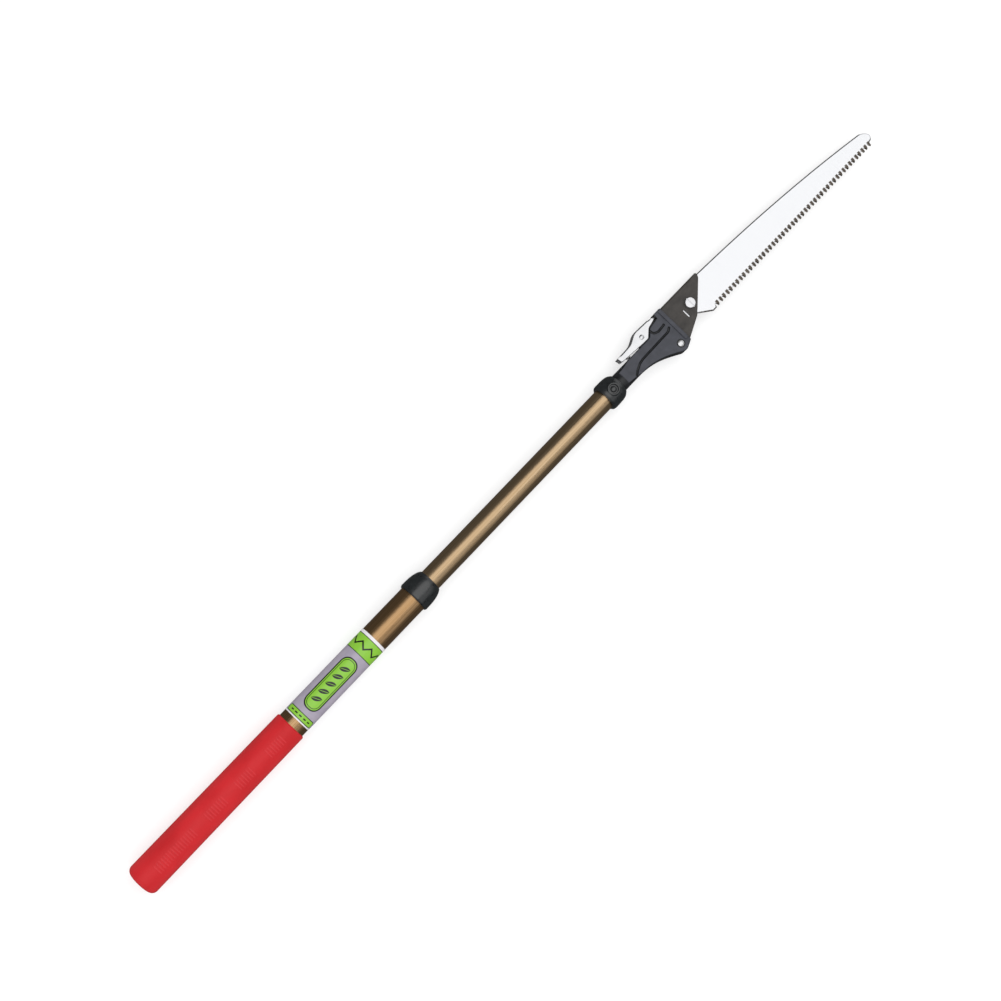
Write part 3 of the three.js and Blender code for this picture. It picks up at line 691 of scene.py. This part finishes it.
def slab(low, high):
    """A plain box from corner to corner, for cutting."""
    (x0, y0, z0), (x1, y1, z1) = low, high
    points = [(x, y, z) for x in (x0, x1) for y in (y0, y1) for z in (z0, z1)]
    faces = [[0, 1, 3, 2], [4, 6, 7, 5], [0, 4, 5, 1], [2, 3, 7, 6], [0, 2, 6, 4], [1, 5, 7, 3]]
    return shape("slab", points, faces)


def channel(path, radius, z, around=12):
    """A round-nosed groove cutter: a circle carried along a path at height z, square to the mean of the
    directions on both sides, with a half ball at each end."""
    path = np.asarray(path, float)
    ahead = np.gradient(path, axis=0)
    ahead /= np.linalg.norm(ahead, axis=1, keepdims=True)
    side = np.stack([-ahead[:, 1], ahead[:, 0]], axis=1)
    swing = np.linspace(0, math.pi / 2, 5)[:, None]
    centres = np.vstack([path[:1] - ahead[:1] * radius * np.sin(swing[::-1]), path[1:-1],
                         path[-1:] + ahead[-1:] * radius * np.sin(swing)])
    sides = np.vstack([np.repeat(side[:1], len(swing), 0), side[1:-1], np.repeat(side[-1:], len(swing), 0)])
    sizes = radius * np.concatenate([np.cos(swing[::-1, 0]), np.ones(len(path) - 2), np.cos(swing[:, 0])])
    sizes = np.maximum(sizes, 0.02 * radius)
    angle = np.linspace(0, TAU, around, endpoint=False)
    flat = centres[:, None] + sides[:, None] * (sizes[:, None] * np.cos(angle))[..., None]
    height = z + sizes[:, None] * np.sin(angle)
    points = np.concatenate([flat, height[..., None]], axis=-1).reshape(-1, 3)
    return shape("channel", points, ring_faces(len(centres), around, closed=False))


def coil(start, axis, radius, wire, turns, length, around=10, per_turn=28):
    """A wound wire: its centre goes round a helix, at radius from the axis; its ends are flat discs."""
    axis = Vector(axis)
    side = axis.orthogonal().normalized()
    other = axis.cross(side)
    axis, side, other = (np.array(v) for v in (axis, side, other))
    t = np.linspace(0, 1, turns * per_turn + 1)[:, None]
    turn = TAU * turns * t
    out = side * np.cos(turn) + other * np.sin(turn)
    centre = np.array(start) + axis * (wire + t * (length - 2 * wire)) + out * radius
    angle = np.linspace(0, TAU, around, endpoint=False)
    ring = out[:, None] * np.cos(angle)[None, :, None] + axis * np.sin(angle)[None, :, None]
    points = (centre[:, None] + ring * wire).reshape(-1, 3)
    return points, ring_faces(len(centre), around, closed=False)


# --------------------------------------------------------------------------------------------------------
# Outer pole: grip, tube, label, collar
# --------------------------------------------------------------------------------------------------------
RIB_GROUPS = ((20.5, 16), (81, 8), (118, 7), (156, 7))  # place of the first rib in mm, and their number
RIB_PITCH = 2.9  # mm
RIB_HALF_WIDTH = 0.5  # mm
RIB_HEIGHT = 0.35 * MM
RIB_LEAN = math.radians(11)  # how far the ribs' middle lies from the top, towards the toothed side
AROUND_POLE = 144  # points in each ring of the pole's pieces


def rib_rise(x, y, z):
    """How far up a rib each point lies, from 0 to 1: the sum over the ribs of a bell across the rib, times a
    flat-topped bell round the sleeve."""
    across = step(np.cos(np.arctan2(y, z) + RIB_LEAN) ** 2, 0.87, 0.94)
    rise = np.zeros(len(x))
    for first, count in RIB_GROUPS:
        for k in range(count):
            rise += np.exp(-((x / MM - first - k * RIB_PITCH) / RIB_HALF_WIDTH) ** 2)
    return np.clip(rise, 0, 1) * across


def grip():
    """A turned sleeve, closed at the butt. Small cross ribs lie in groups along its top and bottom, where
    the radius grows by the ribs' height times their rise. The rise is kept on the mesh for the material,
    which paints a highlight along the crests."""
    skin = GRIP_R - RIB_HEIGHT
    lip_r = 1.8 * MM
    taper = 0.3 * MM
    butt_wall = 3 * MM
    butt = rounded([(0, 0), (0, skin), (GRIP_LENGTH, skin), (GRIP_LENGTH, 0)], [0, 5.5 * MM, 0, 0], 14)
    butt = butt[butt[:, 1] > 0][:-1]
    body_x = np.linspace(butt[-1][0], GRIP_LENGTH - lip_r, 460)[1:]
    body = np.column_stack([body_x, skin - taper * body_x / GRIP_LENGTH])
    lip = arc((GRIP_LENGTH - lip_r, body[-1][1] - lip_r), lip_r, 90, 0, 8)
    inner_r = OUTER_R + SNUG
    inside = [(GRIP_LENGTH, inner_r), (butt_wall, inner_r), (butt_wall, 0)]
    profile = np.vstack([[(0, 0)], butt, body, lip, inside])
    points, faces = turned(profile, AROUND_POLE)
    x, y, z = points.T
    radius = np.hypot(y, z)
    outer = (radius > inner_r + 0.5 * MM) & (x > 6 * MM) & (x < GRIP_LENGTH - 4 * MM)
    scale = 1 + np.where(outer, RIB_HEIGHT * rib_rise(x, y, z) / np.maximum(radius, 1 * MM), 0)
    points = np.column_stack([x, y * scale, z * scale])
    made = settle(shape("red_grip", points, faces), RED_ELASTOMER, "pole", ["grip_sleeve"])
    place_of = np.empty(len(made.data.vertices) * 3)
    made.data.vertices.foreach_get("co", place_of)
    rise = made.data.attributes.new("rib_rise", "FLOAT", "POINT")
    rise.data.foreach_set("value", rib_rise(*place_of.reshape(-1, 3).T))


def drawn_tube(name, node_name, outside, wall):
    """A turned tube with its ends' edges barely broken."""
    low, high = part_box(node_name)
    inside = outside - wall
    outline = [(low.x, inside), (low.x, outside), (high.x, outside), (high.x, inside)]
    return shape(name, *turned(rounded(outline, 0.25 * MM, 3), AROUND_POLE))


def tubes():
    """The outer tube, and the inner tube with the hole that the head collar's button springs through."""
    outer = drawn_tube("outer_tube_drawn", "outer_tube", OUTER_R, 1 * MM)
    settle(outer, OUTER_BRONZE, "pole", ["outer_tube"])
    inner = drawn_tube("inner_tube_drawn", "inner_tube", INNER_R, 1.3 * MM)
    bore(inner, BUTTON, BUTTON_HOLE_R, 5 * MM)
    settle(inner, INNER_BRONZE, "inner_pole", ["inner_tube"])


def label():
    """A thin sleeve of film, its edges square."""
    low, high = LABEL
    inside = LABEL_R - 0.14 * MM
    profile = [(low.x, inside), (low.x, LABEL_R), (high.x, LABEL_R), (high.x, inside)]
    made = shape("label_film_wrap", *turned(profile, AROUND_POLE))
    settle(made, PRINTED_FILM, "pole", ["label_wrap"])


def pole_collar():
    """A turned barrel, fullest near its rear edge and drawn in to the inner tube at its mouth."""
    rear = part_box("pole_collar")[0].x
    outer_bore = OUTER_R + SNUG
    inner_bore = INNER_R + 2 * SNUG
    seat = MOUTH_X - 4.7 * MM
    knots = [(0, 15.3), (1.2, 15.9), (4, 16.0), (9, 15.9), (14, 15.35), (18, 14.4), (21, 13.2), (22.5, 12.3)]
    x = np.linspace(0, 22.5, 60)
    swell = np.column_stack([rear + x * MM, through(knots, x) * MM])
    profile = np.vstack([
        [(seat, outer_bore), (rear + 0.5 * MM, outer_bore), (rear, outer_bore + 0.4 * MM), (rear, 14.7 * MM)],
        swell,
        [(MOUTH_X - 0.1 * MM, 11.9 * MM), (MOUTH_X, 11.6 * MM), (MOUTH_X, inner_bore), (seat, inner_bore)],
    ])
    made = shape("pole_collar_barrel", *turned(profile, AROUND_POLE))
    settle(made, BLACK_NYLON, "pole", ["pole_collar"])


grip()
tubes()
label()
pole_collar()


# --------------------------------------------------------------------------------------------------------
# Head collar and button
# --------------------------------------------------------------------------------------------------------
BOSS_R = 6.4 * MM
BOSS_TOP = 15.1 * MM
DISH_R = 4.5 * MM
DISH_FLOOR = 13.2 * MM
BOSS_HALF_ANGLE = math.radians(34)  # how far round the collar the fine part of its grid goes


def head_collar():
    """A turned barrel with a round boss on top. Over the boss, a point keeps its x and y, and its height
    becomes the boss's: a rounded ring with a dish inside, blended into the barrel round its foot."""
    rear, front = SOCKET_LOW.x, SOCKET_HIGH.x
    knots = [(0, 12.7), (0.9, 13.7), (2.4, 14.2), (6, 14.3), (11, 14.2), (15, 13.8), (18, 12.9), (20.6, 11.2)]
    length = knots[-1][0] * MM
    fine = BUTTON.x - rear + np.linspace(-7.6, 7.6, 96) * MM
    x = np.unique(np.concatenate([np.linspace(0, length, 30), fine]))
    x = x[(x >= 0) & (x <= length)]
    swell = through(knots, x / MM) * MM
    angle = np.concatenate([np.linspace(-BOSS_HALF_ANGLE, BOSS_HALF_ANGLE, 110),
                            np.linspace(BOSS_HALF_ANGLE, TAU - BOSS_HALF_ANGLE, 90)[1:-1]])
    around = len(angle)
    grid_x = np.broadcast_to((rear + x)[:, None], (len(x), around))
    y = swell[:, None] * np.sin(angle)
    z = swell[:, None] * np.cos(angle)
    reach = np.hypot(grid_x - BUTTON.x, y)
    ring = BOSS_TOP - (BOSS_TOP - DISH_FLOOR) * step(-reach, -DISH_R - 0.35 * MM, -DISH_R + 0.35 * MM)
    crown = ring - 0.5 * MM * step(reach, BOSS_R - 0.7 * MM, BOSS_R - 0.1 * MM)
    blend = step(-reach, -BOSS_R - 0.35 * MM, -BOSS_R + 0.1 * MM) * (z > 0)
    z = z * (1 - blend) + crown * blend
    skin = np.stack([grid_x, y, z], axis=-1)
    tube_bore = INNER_R + SNUG
    inner_end = front - 2.7 * MM
    neck_bore = NECK_R + 0.25 * MM
    rings = [(front, neck_bore), (inner_end, neck_bore), (inner_end, tube_bore), (rear, tube_bore)]
    inside = np.array([np.stack([np.full(around, rx), r * np.sin(angle), r * np.cos(angle)], axis=-1)
                       for rx, r in rings])
    points = np.concatenate([skin, inside])
    made = shape("head_collar_moulding", points.reshape(-1, 3), ring_faces(len(points), around))
    bore(made, BUTTON, BUTTON_HOLE_R, 5 * MM)
    settle(made, BLACK_NYLON, "inner_pole", ["head_collar"], 40)


def button():
    """A turned button: a flange that keeps it in, a straight shank, and a low dome."""
    low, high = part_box("snap_button")
    flange_r = 3.8 * MM
    flange_top = low.z + 2 * MM
    dome_rise = 1.3 * MM
    dome = [(BUTTON_R * math.sin(t), high.z - dome_rise * (1 - math.cos(t)))
            for t in np.linspace(math.radians(82), 0, 12)]
    profile = [(0, low.z), (flange_r, low.z), (flange_r, flange_top), (BUTTON_R, flange_top), *dome]
    made = shape("button_dome", *post(BUTTON, profile, 48))
    settle(made, BLACK_NYLON, "button", ["snap_button"])


def springs():
    """The button's coil and the lever's, each with a mesh of its own."""
    wire = 0.4 * MM
    low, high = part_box("button_spring")
    height = high.z - low.z
    start = (BUTTON.x, 0, low.z)
    made = shape("button_coil", *coil(start, (0, 0, 1), 3 * MM, wire, 5, height))
    settle(made, SPRING_WIRE, "inner_pole", ["button_spring"])
    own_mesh(made)
    low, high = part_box("lever_spring")
    start = ((low.x + high.x) / 2, low.y, 0)
    made = shape("lever_coil", *coil(start, (0, 1, 0), 2.3 * MM, wire, 4, high.y - low.y))
    settle(made, SPRING_WIRE, "inner_pole", ["lever_spring"])
    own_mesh(made)


head_collar()
button()
springs()


# --------------------------------------------------------------------------------------------------------
# Head casting
# --------------------------------------------------------------------------------------------------------
HEAD_FACE_X = SOCKET_HIGH.x + 6.4 * MM
LOBE_R = 8.2 * MM
HORN_REAR_X = HEAD_FRONT_X - 9.2 * MM
HORN_TOP_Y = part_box("head_casting")[1].y
BEAD_RISE = 1.1 * MM
LONG_GROOVE = ((648.5, -7), (652.3, -4.4), (658.5, -1.5), (664, -0.4), (702, 0.2), (705.3, 2.4))
SHORT_GROOVE = ((689.3, 13.6), (690.2, 8.8), (695.5, 7.1), (703.8, 8))
GROOVE_R = 1.3 * MM
RIVET_BORE_R = RIVET_R + SNUG
PIN_BORE_R = PIN_R + SNUG


def millimetres(points):
    return np.asarray(points, float) * MM


def casting_outline():
    """The stem, a long sweep down to the pivot's lobe, the straight front, the horn, and the step down
    behind it where the lever lies."""
    lobe = arc(PIVOT / MM, LOBE_R / MM, -120, -66, 14)
    sweep_x, sweep_y = lobe[0]
    slope_x, slope_y = lobe[-1]
    front, horn, top, start = (size / MM for size in (HEAD_FRONT_X, HORN_REAR_X, HORN_TOP_Y, HEAD_FACE_X))
    stem = 9.4
    sweep = bezier((650, -stem), (669, -stem), (sweep_x - 19, sweep_y + 11), (sweep_x, sweep_y), steps=36)
    step_down = (horn - 4, 16.5)
    horn_corner = rounded([(front, 15), (front, top), (horn, top), (horn, 16.9), step_down],
                          [0, 1.0, 0.9, 0.5, 0], 6)
    back = rounded([step_down, (691.5, 15.3), (684.4, 9.2), (676, 9.3), (start, stem)], [0, 5, 4, 3, 0], 8)
    return millimetres(np.vstack([
        [(start, -stem)], sweep, lobe[1:], [(front, slope_y + (front - slope_x) * 0.45)], horn_corner,
        back[1:],
    ]))


def grown_form():
    """The turned form that the casting's plate is kept within. It starts at the neck, and its radius grows
    as the length to the power 1.4."""
    length, wide = 29 * MM, 60 * MM
    rear, front = HEAD_FACE_X - 2 * MM, HEAD_FRONT_X + 10 * MM
    x = np.linspace(0, 1, 28)
    swell = np.column_stack([HEAD_FACE_X + length * x, NECK_R + 3.4 * MM * x ** 1.4])
    profile = np.vstack([[(rear, 0), (rear, NECK_R)], swell,
                         [(HEAD_FACE_X + length + 0.5 * MM, wide), (front, wide), (front, 0)]])
    return shape("growth", *turned(profile, 160))


def head_casting():
    """A plate of the casting's outline with rounded edges, kept within a turned form that grows from the
    neck; then the bead, the lug inside the lever and the neck's spigot join it, and the slot, pocket, bores
    and face grooves are cut."""
    outline = casting_outline()
    near_horn = step(outline[:, 1], 12 * MM, 14.5 * MM)
    made = shape("head_casting_body", *plate(outline, -CHEEK_Z, CHEEK_Z, (1.3 - 0.6 * near_horn) * MM, 5))
    combine(made, grown_form(), "INTERSECT")
    rear = SOCKET_LOW.x - 22 * MM
    spigot_end = SOCKET_HIGH.x - 3 * MM
    spigot_r = NECK_R - SNUG
    neck_end = HEAD_FACE_X + 0.5 * MM
    neck = rounded([(rear, 0), (rear, spigot_r), (spigot_end, spigot_r), (spigot_end, NECK_R),
                    (neck_end, NECK_R), (neck_end, 0)], [0, 1 * MM, 0, 0, 0.6 * MM, 0])
    combine(made, shape("neck", *turned(neck, 96)), "UNION")
    bead_low, bead_high = HEAD_FRONT_X - 4.6 * MM, HEAD_FRONT_X - 0.4 * MM
    bead_foot = -17.5 * MM
    ends = [(bead_low, bead_foot), (bead_high, bead_foot), (bead_high, SPINE_Y), (bead_low, SPINE_Y)]
    bead = plate(rounded(ends, 0.8 * MM, 4), -CHEEK_Z - BEAD_RISE, CHEEK_Z + BEAD_RISE, 0.75 * MM, 4)
    combine(made, shape("bead", *bead), "UNION")
    horn = HORN_REAR_X / MM
    lug = [(671, 5), (673, 12), (676, 16.5), (678, 18.8), (681.6, 18.8), (685, 17.3), (horn - 0.3, 17.2),
           (horn - 0.3, 5)]
    lug = plate(millimetres(rounded(lug, [0, 3, 3, 1.5, 1.5, 2, 0, 0], 5)), -LUG_Z, LUG_Z, 0.4 * MM, 3)
    combine(made, shape("lug", *lug), "UNION")
    bore(made, BUTTON, 4.2 * MM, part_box("button_spring")[0].z - 0.3 * MM)
    spring_low, spring_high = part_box("lever_spring")
    seat = 0.3 * MM
    combine(made, slab((spring_low.x - seat, spring_low.y - 0.1 * MM, spring_low.z - seat),
                       (spring_high.x + seat, 30 * MM, spring_high.z + seat)))
    wall_x = horn + 0.6
    slot = [(740, -60), (740, 40), (700, 40), (700, 17.2), (wall_x, 17.2), (wall_x, 15), (694.9, -11.2),
            (685, -16.6), (674, -23), (674, -60)]
    combine(made, shape("slot", *plate(millimetres(slot), -SLOT_Z, SLOT_Z, 0.01 * MM, 1)))
    bore(made, PIVOT, RIVET_BORE_R)
    bore(made, LEVER_PIN, PIN_BORE_R)
    recess_floor = CHEEK_Z - 0.5 * MM
    for side in (1, -1):
        for path in (LONG_GROOVE, SHORT_GROOVE):
            eased = rounded(path, [0] + [4] * (len(path) - 2) + [0], 8)
            combine(made, channel(millimetres(eased), GROOVE_R, side * (CHEEK_Z - 0.1 * MM)))
        bore(made, PIVOT, 4.3 * MM, *sorted((side * recess_floor, side * FAR)))
    settle(made, BLACK_ENAMEL, "inner_pole", ["head_casting"], 30)
    paint_faces(made, CAST_PAINT)


def paint_faces(made, material):
    """Adds a second material, grey, on the flat faces and on the whole bead above them. The face grooves and
    the pivot recess keep the black enamel, which there is painted shade."""
    mesh = made.data
    mesh.materials.append(material)
    count = len(mesh.polygons)
    centre = np.empty(count * 3)
    normal = np.empty(count * 3)
    mesh.polygons.foreach_get("center", centre)
    mesh.polygons.foreach_get("normal", normal)
    centre, normal = centre.reshape(-1, 3), normal.reshape(-1, 3)
    height = np.abs(centre[:, 2])
    # Faces sunk below the flats, the grooves and the pivot recess among them, stay black as painted shade.
    face = (height > CHEEK_Z - 0.25 * MM) & (np.abs(normal[:, 2]) > 0.75)
    bead = height > CHEEK_Z + 0.02 * MM
    grey = (face | bead) & (centre[:, 0] > HEAD_FACE_X)
    mesh.polygons.foreach_set("material_index", grey.astype(np.int32))


head_casting()


# --------------------------------------------------------------------------------------------------------
# Blade holder, blade and their fasteners
# --------------------------------------------------------------------------------------------------------
def blade_holder():
    """Folded sheet: an outline plate whose spine is the round of the fold and whose other edges are barely
    broken, hollowed from below."""
    spine = SPINE_Y / MM
    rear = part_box("blade_holder")[0].x / MM
    nose = rounded([(761, spine), (767.8, spine), (765.6, 16), (741, -5.4), (730, -12)], [0, 2.6, 6, 6, 0], 8)
    lobe = arc(PIVOT / MM, LOBE_R / MM - 0.3, -66, -202, 40)
    along = np.concatenate([rear + np.linspace(0.5, 3, 6), np.linspace(rear + 6, 757, 12), [758, 759, 760]])
    back = np.column_stack([along, np.full(len(along), spine)])
    points = np.vstack([[(rear, spine)], back, nose[:-1], [(736.4, -9.2)], lobe, [(rear, 15)]])
    on_spine = points[:, 1] > spine - 0.05
    fold = step(points[:, 0], rear, rear + 3) * step(-points[:, 0], -763, -757) * on_spine
    edge = (0.3 + 1.9 * fold) * MM
    made = shape("blade_holder_sheet", *plate(millimetres(points), -HOLDER_Z, HOLDER_Z, edge, 6))
    gap = HOLDER_Z - HOLDER_SHEET
    combine(made, slab((690 * MM, -40 * MM, -gap), (780 * MM, SPINE_Y - HOLDER_SHEET, gap)))
    bore(made, PIVOT, RIVET_BORE_R)
    bore(made, BOLT, BOLT_HOLE_R)
    slot_middle, slot_reach, slot_r = np.array([730.4, -0.4]), 3.4, 1.2
    lean = -1  # degrees
    run = np.array([-math.sin(math.radians(lean)), math.cos(math.radians(lean))]) * slot_reach
    slot = np.vstack([arc(slot_middle - run, slot_r, lean + 180, lean + 360, 10),
                      arc(slot_middle + run, slot_r, lean, lean + 180, 10)])
    combine(made, shape("slot", *plate(millimetres(slot), -10 * MM, 10 * MM, 0.01 * MM, 1)))
    settle(made, HOLDER_PAINT, "blade_arm", ["blade_holder"], 30)


def blade():
    """A thin plate. Its spine and heel have a small chamfer, and each tooth is ground to a slope through the
    whole thickness, towards one face and the other in turn: an inset that grows with the height."""
    spine = SPINE_Y / MM - 1.9
    rear = 717
    tip = TIP_X / MM
    first = np.arange(TEETH_COUNT)[:, None] * PITCH + TEETH_START
    tooth_x = first + np.array([0, 1.0, 2.2, 4.0])
    tooth_y = np.broadcast_to([ROOT_Y, ROOT_Y, TIP_Y, TIP_Y + 0.6], tooth_x.shape)
    teeth = np.column_stack([tooth_x.ravel(), tooth_y.ravel()])
    heel = [(rear, -6), *HEEL, (TEETH_START - 1, TIP_Y)]
    nose = np.vstack([
        [(TEETH_END, ROOT_Y)],
        bezier((TEETH_END, ROOT_Y), (tip - 1, ROOT_Y), (tip, -8.6), steps=10)[1:],
        bezier((tip, -8.6), (tip - 1.5, -3.6), (996, -0.6), steps=10)[1:],
        bezier((996, -0.6), (890, spine - 4.5), (768, spine), steps=60)[1:],
        [(rear, spine)],
    ])
    points = np.vstack([heel, teeth, nose])
    chamfer = np.where(points[:, 0] < rear + 1, 0.1, 1.2) * MM
    # Which face each tooth is ground towards, and by how much of the whole slope: half as much at its root.
    index = np.arange(len(teeth))
    towards = np.where((index // 4) % 2 == 0, 1, -1)
    amount = np.where(index % 4 < 2, 0.5, 1)
    ground = np.concatenate([np.zeros(len(heel)), towards * amount, np.zeros(len(nose))])
    full_slope = 0.5 * MM
    rings = []
    for z in (-1.0, -0.25, 0.25, 1.0):
        slope = full_slope * np.clip(0.5 + 0.5 * z * np.sign(ground), 0, 1) * np.abs(ground)
        away = np.where(ground != 0, slope, chamfer * (abs(z) == 1.0))[:, None]
        rings.append(np.column_stack([inset(millimetres(points), away), np.full(len(points), z * BLADE_Z)]))
    made = shape("blade_ground", np.concatenate(rings), ring_faces(len(rings), len(points), closed=False))
    bore(made, BOLT, BOLT_HOLE_R)
    settle(made, SAW_STEEL, "blade_arm", ["blade"], 12)


def domed(radius, top, rise, hollow):
    """The profile of a low head, from its rim to its middle: top less the rise times the square of the share
    of the radius, with a blind hole in the middle if hollow is not 0."""
    share = np.linspace(1, hollow / radius, 12)
    profile = [(radius * s, top - rise * s ** 2) for s in share]
    floor_z = top - 1.3 * MM
    return profile + [(hollow, floor_z), (0, floor_z)] if hollow else profile


def headed_pin(name, node_name, shank, head, seat, hollow=0):
    """A turned pin with the same domed head at both ends."""
    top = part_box(node_name)[1].z
    rim = seat + 0.2 * MM
    upper = [(shank, seat), (head, seat), (head, rim), *domed(head, top, top - rim, hollow)[1:]]
    profile = [(r, -z) for r, z in reversed(upper)] + upper
    made = shape(name, *post(middle(node_name), profile, 56))
    settle(made, ZINC_PLATE, "inner_pole", [node_name])


def blade_bolt():
    """A turned bolt with a low crown that falls away at its rim, and a driver's slot across it."""
    low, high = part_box("blade_bolt")
    seat = HOLDER_Z + 0.15 * MM
    head = 5.5 * MM
    point = 0.5 * MM
    share = 1 - np.linspace(0, 1, 24) ** 2
    crown = [(head * s, high.z - 0.35 * MM * s ** 2 - 0.9 * MM * s ** 30) for s in share]
    profile = [(0, low.z), (BOLT_R - point, low.z), (BOLT_R, low.z + point), (BOLT_R, seat), (head, seat),
               *crown]
    made = shape("blade_bolt_domed", *post(BOLT, profile, 72))
    half_slot = 0.6 * MM
    combine(made, slab((BOLT.x - half_slot, BOLT.y - 9 * MM, high.z - 1.1 * MM),
                       (BOLT.x + half_slot, BOLT.y + 9 * MM, high.z + 2 * MM)))
    settle(made, ZINC_PLATE, "blade_arm", ["blade_bolt"], 30)


def blade_nut():
    """A hexagon kept within a turned form, which bevels its corners."""
    low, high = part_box("blade_nut")
    made = shape("blade_nut_hex", *plate(arc(BOLT, 5.8 * MM, 0, 300, 5), low.z, high.z, 0.02 * MM, 1))
    inner, outer, bevel = 5.1 * MM, 5.9 * MM, 0.5 * MM
    profile = [(0, low.z), (inner, low.z), (outer, low.z + bevel), (outer, high.z - bevel), (inner, high.z),
               (0, high.z)]
    combine(made, shape("bevel", *post(BOLT, profile, 72)), "INTERSECT")
    bore(made, BOLT, BOLT_R + SNUG, -FAR, 0)
    settle(made, ZINC_PLATE, "blade_arm", ["blade_nut"], 30)


def bolt_washer():
    low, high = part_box("bolt_washer")
    inner, outer = BOLT_HOLE_R, 6 * MM
    ring = rounded([(inner, low.z), (outer, low.z), (outer, high.z), (inner, high.z)], 0.2 * MM, 3)
    made = shape("bolt_washer_flat", *post(BOLT, ring, 72))
    settle(made, ZINC_PLATE, "blade_arm", ["bolt_washer"])


blade_holder()
blade()
headed_pin("pivot_rivet_domed", "pivot_rivet", RIVET_R, 3.1 * MM, CHEEK_Z + 0.1 * MM)
headed_pin("lever_pin_domed", "lever_pin", PIN_R, 2.5 * MM, 5.55 * MM, 1.3 * MM)
blade_bolt()
blade_nut()
bolt_washer()


# --------------------------------------------------------------------------------------------------------
# Lock lever
# --------------------------------------------------------------------------------------------------------
LEVER_Z = half_size("lock_lever").z
LEVER_SHEET = 1.4 * MM


def lock_lever():
    """A pressed channel: an outline plate with the bends' rounds along its back, hollowed from below, with a
    tongue at its nose."""
    tail, nose = (648, 12.4), (701.4, 18.6)
    back = rounded([tail, (646.9, 17.3), (666, 17.9), (677, 23.4), (694.8, 22.6), (701, 20.9), nose],
                   [0, 0.55, 16, 14, 10, 0.6, 0], 12)
    filled = [np.linspace(a, b, 7)[:-1] for a, b in zip(back, back[1:])]
    back = np.vstack([*filled, back[-1:]])
    belly = rounded([nose, (691.5, 16.3), (683.6, 9.6), (676.6, 9.8), (650.1, 11.8), tail],
                    [0, 6, 3, 4, 0.8, 0], 8)
    points = np.vstack([back, belly[1:-1]])
    bend = step(points[:, 0], 649.2, 652) * step(-points[:, 0], -700.2, -697.3)
    bend[len(back):] = 0
    edge = (0.35 + 1.25 * bend) * MM
    made = shape("lock_lever_pressed", *plate(millimetres(points), -LEVER_Z, LEVER_Z, edge, 6))
    inner = LEVER_Z - LEVER_SHEET
    hollow = rounded([(640, 0), (640, 15.8), (666, 16.5), (677.3, 22), (694.6, 21.2), (699.4, 20.3),
                      (699.4, 0)], [0, 0, 14, 12, 6, 0, 0], 12)
    combine(made, shape("hollow", *plate(millimetres(hollow), -inner, inner, 0.5 * MM, 3)))
    combine(made, slab((697 * MM, 17.9 * MM, -2.6 * MM), (705.6 * MM, 20.1 * MM, 2.6 * MM)), "UNION")
    bore(made, LEVER_PIN, PIN_BORE_R)
    settle(made, ZINC_PLATE, "lever", ["lock_lever"], 32)


lock_lever()


# --------------------------------------------------------------------------------------------------------
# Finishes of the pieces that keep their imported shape, and the scene
# --------------------------------------------------------------------------------------------------------
CAD_FINISH = {
    "tube_end_plug": BLACK_NYLON, "guide_bush": NATURAL_NYLON, "expander_sleeve": NATURAL_NYLON,
    "expander_cone": ZINC_PLATE, "inner_end_plug": BLACK_NYLON, "lock_screw": SPRING_WIRE,
    "screw_clip": SPRING_WIRE, "pivot_washer_front": NATURAL_NYLON, "pivot_washer_rear": NATURAL_NYLON,
    "pivot_spacer": SPRING_WIRE,
}
for node_name, material in CAD_FINISH.items():
    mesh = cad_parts[node_name].data
    mesh.materials.clear()
    mesh.materials.append(material)

add_camera()
add_world()
add_floor()
add_panel("overhead", (0.75, -0.08, 1.6), (0.75, -0.08, 0.0), (3.6, 1.8), 21.5)
add_panel("side_fill", (0.7, -1.6, 1.25), (0.6, 0.0, 0.0), (3.0, 1.0), 4.6)
add_panel("far_end", (3.0, 0.2, 0.7), (0.5, 0.0, 0.0), (1.4, 2.4), 7)
add_panel("near_end", (-2.0, -0.2, 0.7), (0.5, 0.0, 0.0), (1.4, 2.4), 7)

bpy.context.scene.view_settings.view_transform = "Standard"
bpy.context.scene.view_settings.look = "None"
